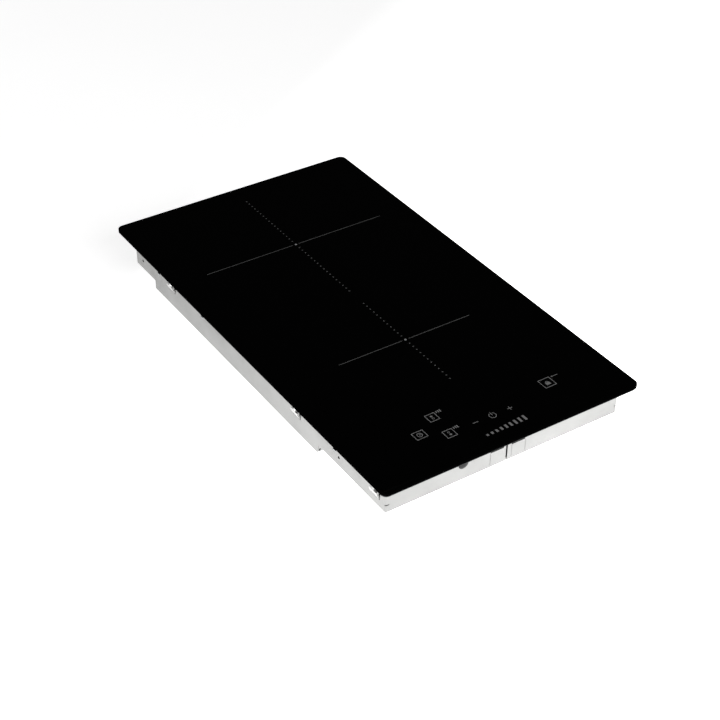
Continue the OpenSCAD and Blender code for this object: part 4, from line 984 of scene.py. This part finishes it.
@dataclass
class LitzWinding:
    """A flat spiral of stranded, lacquered copper, wound from the middle outward."""

    wire: float = 3.1
    gap: float = 0.35

    def tree(self) -> Pattern:
        """Build the spiral's tree.

        Returns:
            The tree, with the wire's size and the winding's two radii as inputs.
        """
        sizes = {"Wire radius": self.wire / 2 * MM, "Inner radius": 20 * MM, "Outer radius": 60 * MM, "Turns": 12.0}
        made = Pattern("litz spiral", sizes)
        spiral = made.add("GeometryNodeCurveSpiral", {
            "Resolution": 56, "Rotations": made.size("Turns"), "Start Radius": made.size("Inner radius"),
            "End Radius": made.size("Outer radius"), "Height": 0.0})
        profile = made.add("GeometryNodeCurvePrimitiveCircle", {
            "Resolution": 9, "Radius": made.size("Wire radius")}, mode="RADIUS")
        wire = made.add("GeometryNodeCurveToMesh", {
            "Curve": spiral.outputs[0], "Profile Curve": profile.outputs[0], "Fill Caps": True})
        made.close(made.at_places(wire.outputs[0]), BOOK.of("enamelled_copper"), 1.2)
        return made

    def build(self) -> list[Piece]:
        """Wind both coils inside the bands that the CAD keeps for them.

        Returns:
            The two windings.
        """
        tree, pieces = self.tree(), []
        for body in ("rear_coil", "front_coil"):
            node = body.replace("coil", "winding")
            low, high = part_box(node)
            middle = (low + high) / 2
            reach = [math.hypot(v.co.x - middle.x, v.co.y - middle.y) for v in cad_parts[node].data.vertices]
            radius = min(self.wire * MM, high.z - low.z) / 2
            turns = (max(reach) - min(reach) - 2 * radius) / (2 * radius + self.gap * MM)
            mesh = tree.mesh([(middle, Vector((0, 0, 1)), 0.0)], **{
                "Wire radius": radius, "Inner radius": min(reach) + radius,
                "Outer radius": max(reach) - radius, "Turns": turns})
            pieces.append(Piece(f"litz_{node}", mesh, "enamelled_copper").join_frame(body, node))
        return pieces


@dataclass
class Lamp:
    """One soft rectangular lamp that points at the object."""

    name: str
    place: tuple[float, float, float]
    size: tuple[float, float]
    watts: float
    aim: tuple[float, float, float] = (0.0, 0.0, 0.03)

    def build(self) -> None:
        """Hang the lamp and turn it to its aim."""
        light = bpy.data.lights.new(self.name, "AREA")
        light.shape, light.energy = "RECTANGLE", self.watts
        light.size, light.size_y = self.size
        holder = bpy.data.objects.new(self.name, light)
        bpy.context.scene.collection.objects.link(holder)
        holder.location = self.place
        holder.rotation_euler = (Vector(self.aim) - Vector(self.place)).to_track_quat("-Z", "Y").to_euler()


@dataclass
class Studio:
    """A pale glowing floor, soft lamps, a dark ceiling, and the camera."""

    floor_side: float = 60.0
    ceiling: float = 0.008
    camera_place: tuple[float, float, float] = (-0.728843, -1.085357, 0.950673)
    camera_right: tuple[float, float, float] = (0.842243, -0.539098, 0.000429)
    camera_up: tuple[float, float, float] = (0.322107, 0.503872, 0.801473)
    lens: float = 79.364
    shift: float = 0.0393
    lamps: tuple[Lamp, ...] = (
        Lamp("Front lamp", (0.0, -2.3, 1.5), (1.6, 1.2), 24),
        Lamp("Left lamp", (-2.0, -0.9, 1.6), (1.2, 1.2), 2),
        Lamp("Rear lamp", (-1.5, 1.55, 0.8), (1.2, 0.5), 6),
        Lamp("Overhead lamp", (-0.2, -0.3, 2.4), (2.0, 2.0), 6),
    )

    def build(self) -> None:
        """Lay the floor, hang the lamps and stand the camera."""
        made = bmesh.new()
        bmesh.ops.create_grid(made, x_segments=4, y_segments=4, size=self.floor_side / 2)
        mesh = mesh_from(made, "floor")
        floor = bpy.data.objects.new("floor", mesh)
        bpy.context.scene.collection.objects.link(floor)
        floor.location = (0, 0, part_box("bottom_cover")[0].z - 0.0001)
        mesh.materials.append(StudioFloor("Pale studio floor", "#fcfcfc", 0.9).material())
        world = bpy.data.worlds.new("Studio")
        world.use_nodes = True
        world.node_tree.nodes["Background"].inputs[0].default_value = (self.ceiling,) * 3 + (1.0,)
        bpy.context.scene.world = world
        bpy.context.scene.view_settings.view_transform = "Standard"
        for lamp in self.lamps:
            lamp.build()
        self.stand_camera()

    def stand_camera(self) -> None:
        """Place the camera from its own axes."""
        data = bpy.data.cameras.new("Camera")
        data.lens, data.shift_x, data.sensor_width = self.lens, self.shift, 36.0
        camera = bpy.data.objects.new("Camera", data)
        bpy.context.scene.collection.objects.link(camera)
        right, up = Vector(self.camera_right), Vector(self.camera_up)
        axes = Matrix((right, up, right.cross(up))).transposed().to_4x4()
        camera.matrix_world = Matrix.Translation(self.camera_place) @ axes
        bpy.context.scene.camera = camera


def main() -> None:
    """Dress the frame, build the fine pieces and set up the studio."""
    logging.basicConfig(level=logging.INFO, format="%(name)s: %(message)s")
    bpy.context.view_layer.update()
    LOG.info("dressed %d CAD nodes", BOOK.dress_frame())
    GlassPlate().build()
    ClipLeaf().build_all()
    Screws().build()
    LitzWinding().build()
    Studio().build()


if __name__ == "__main__":
    main()
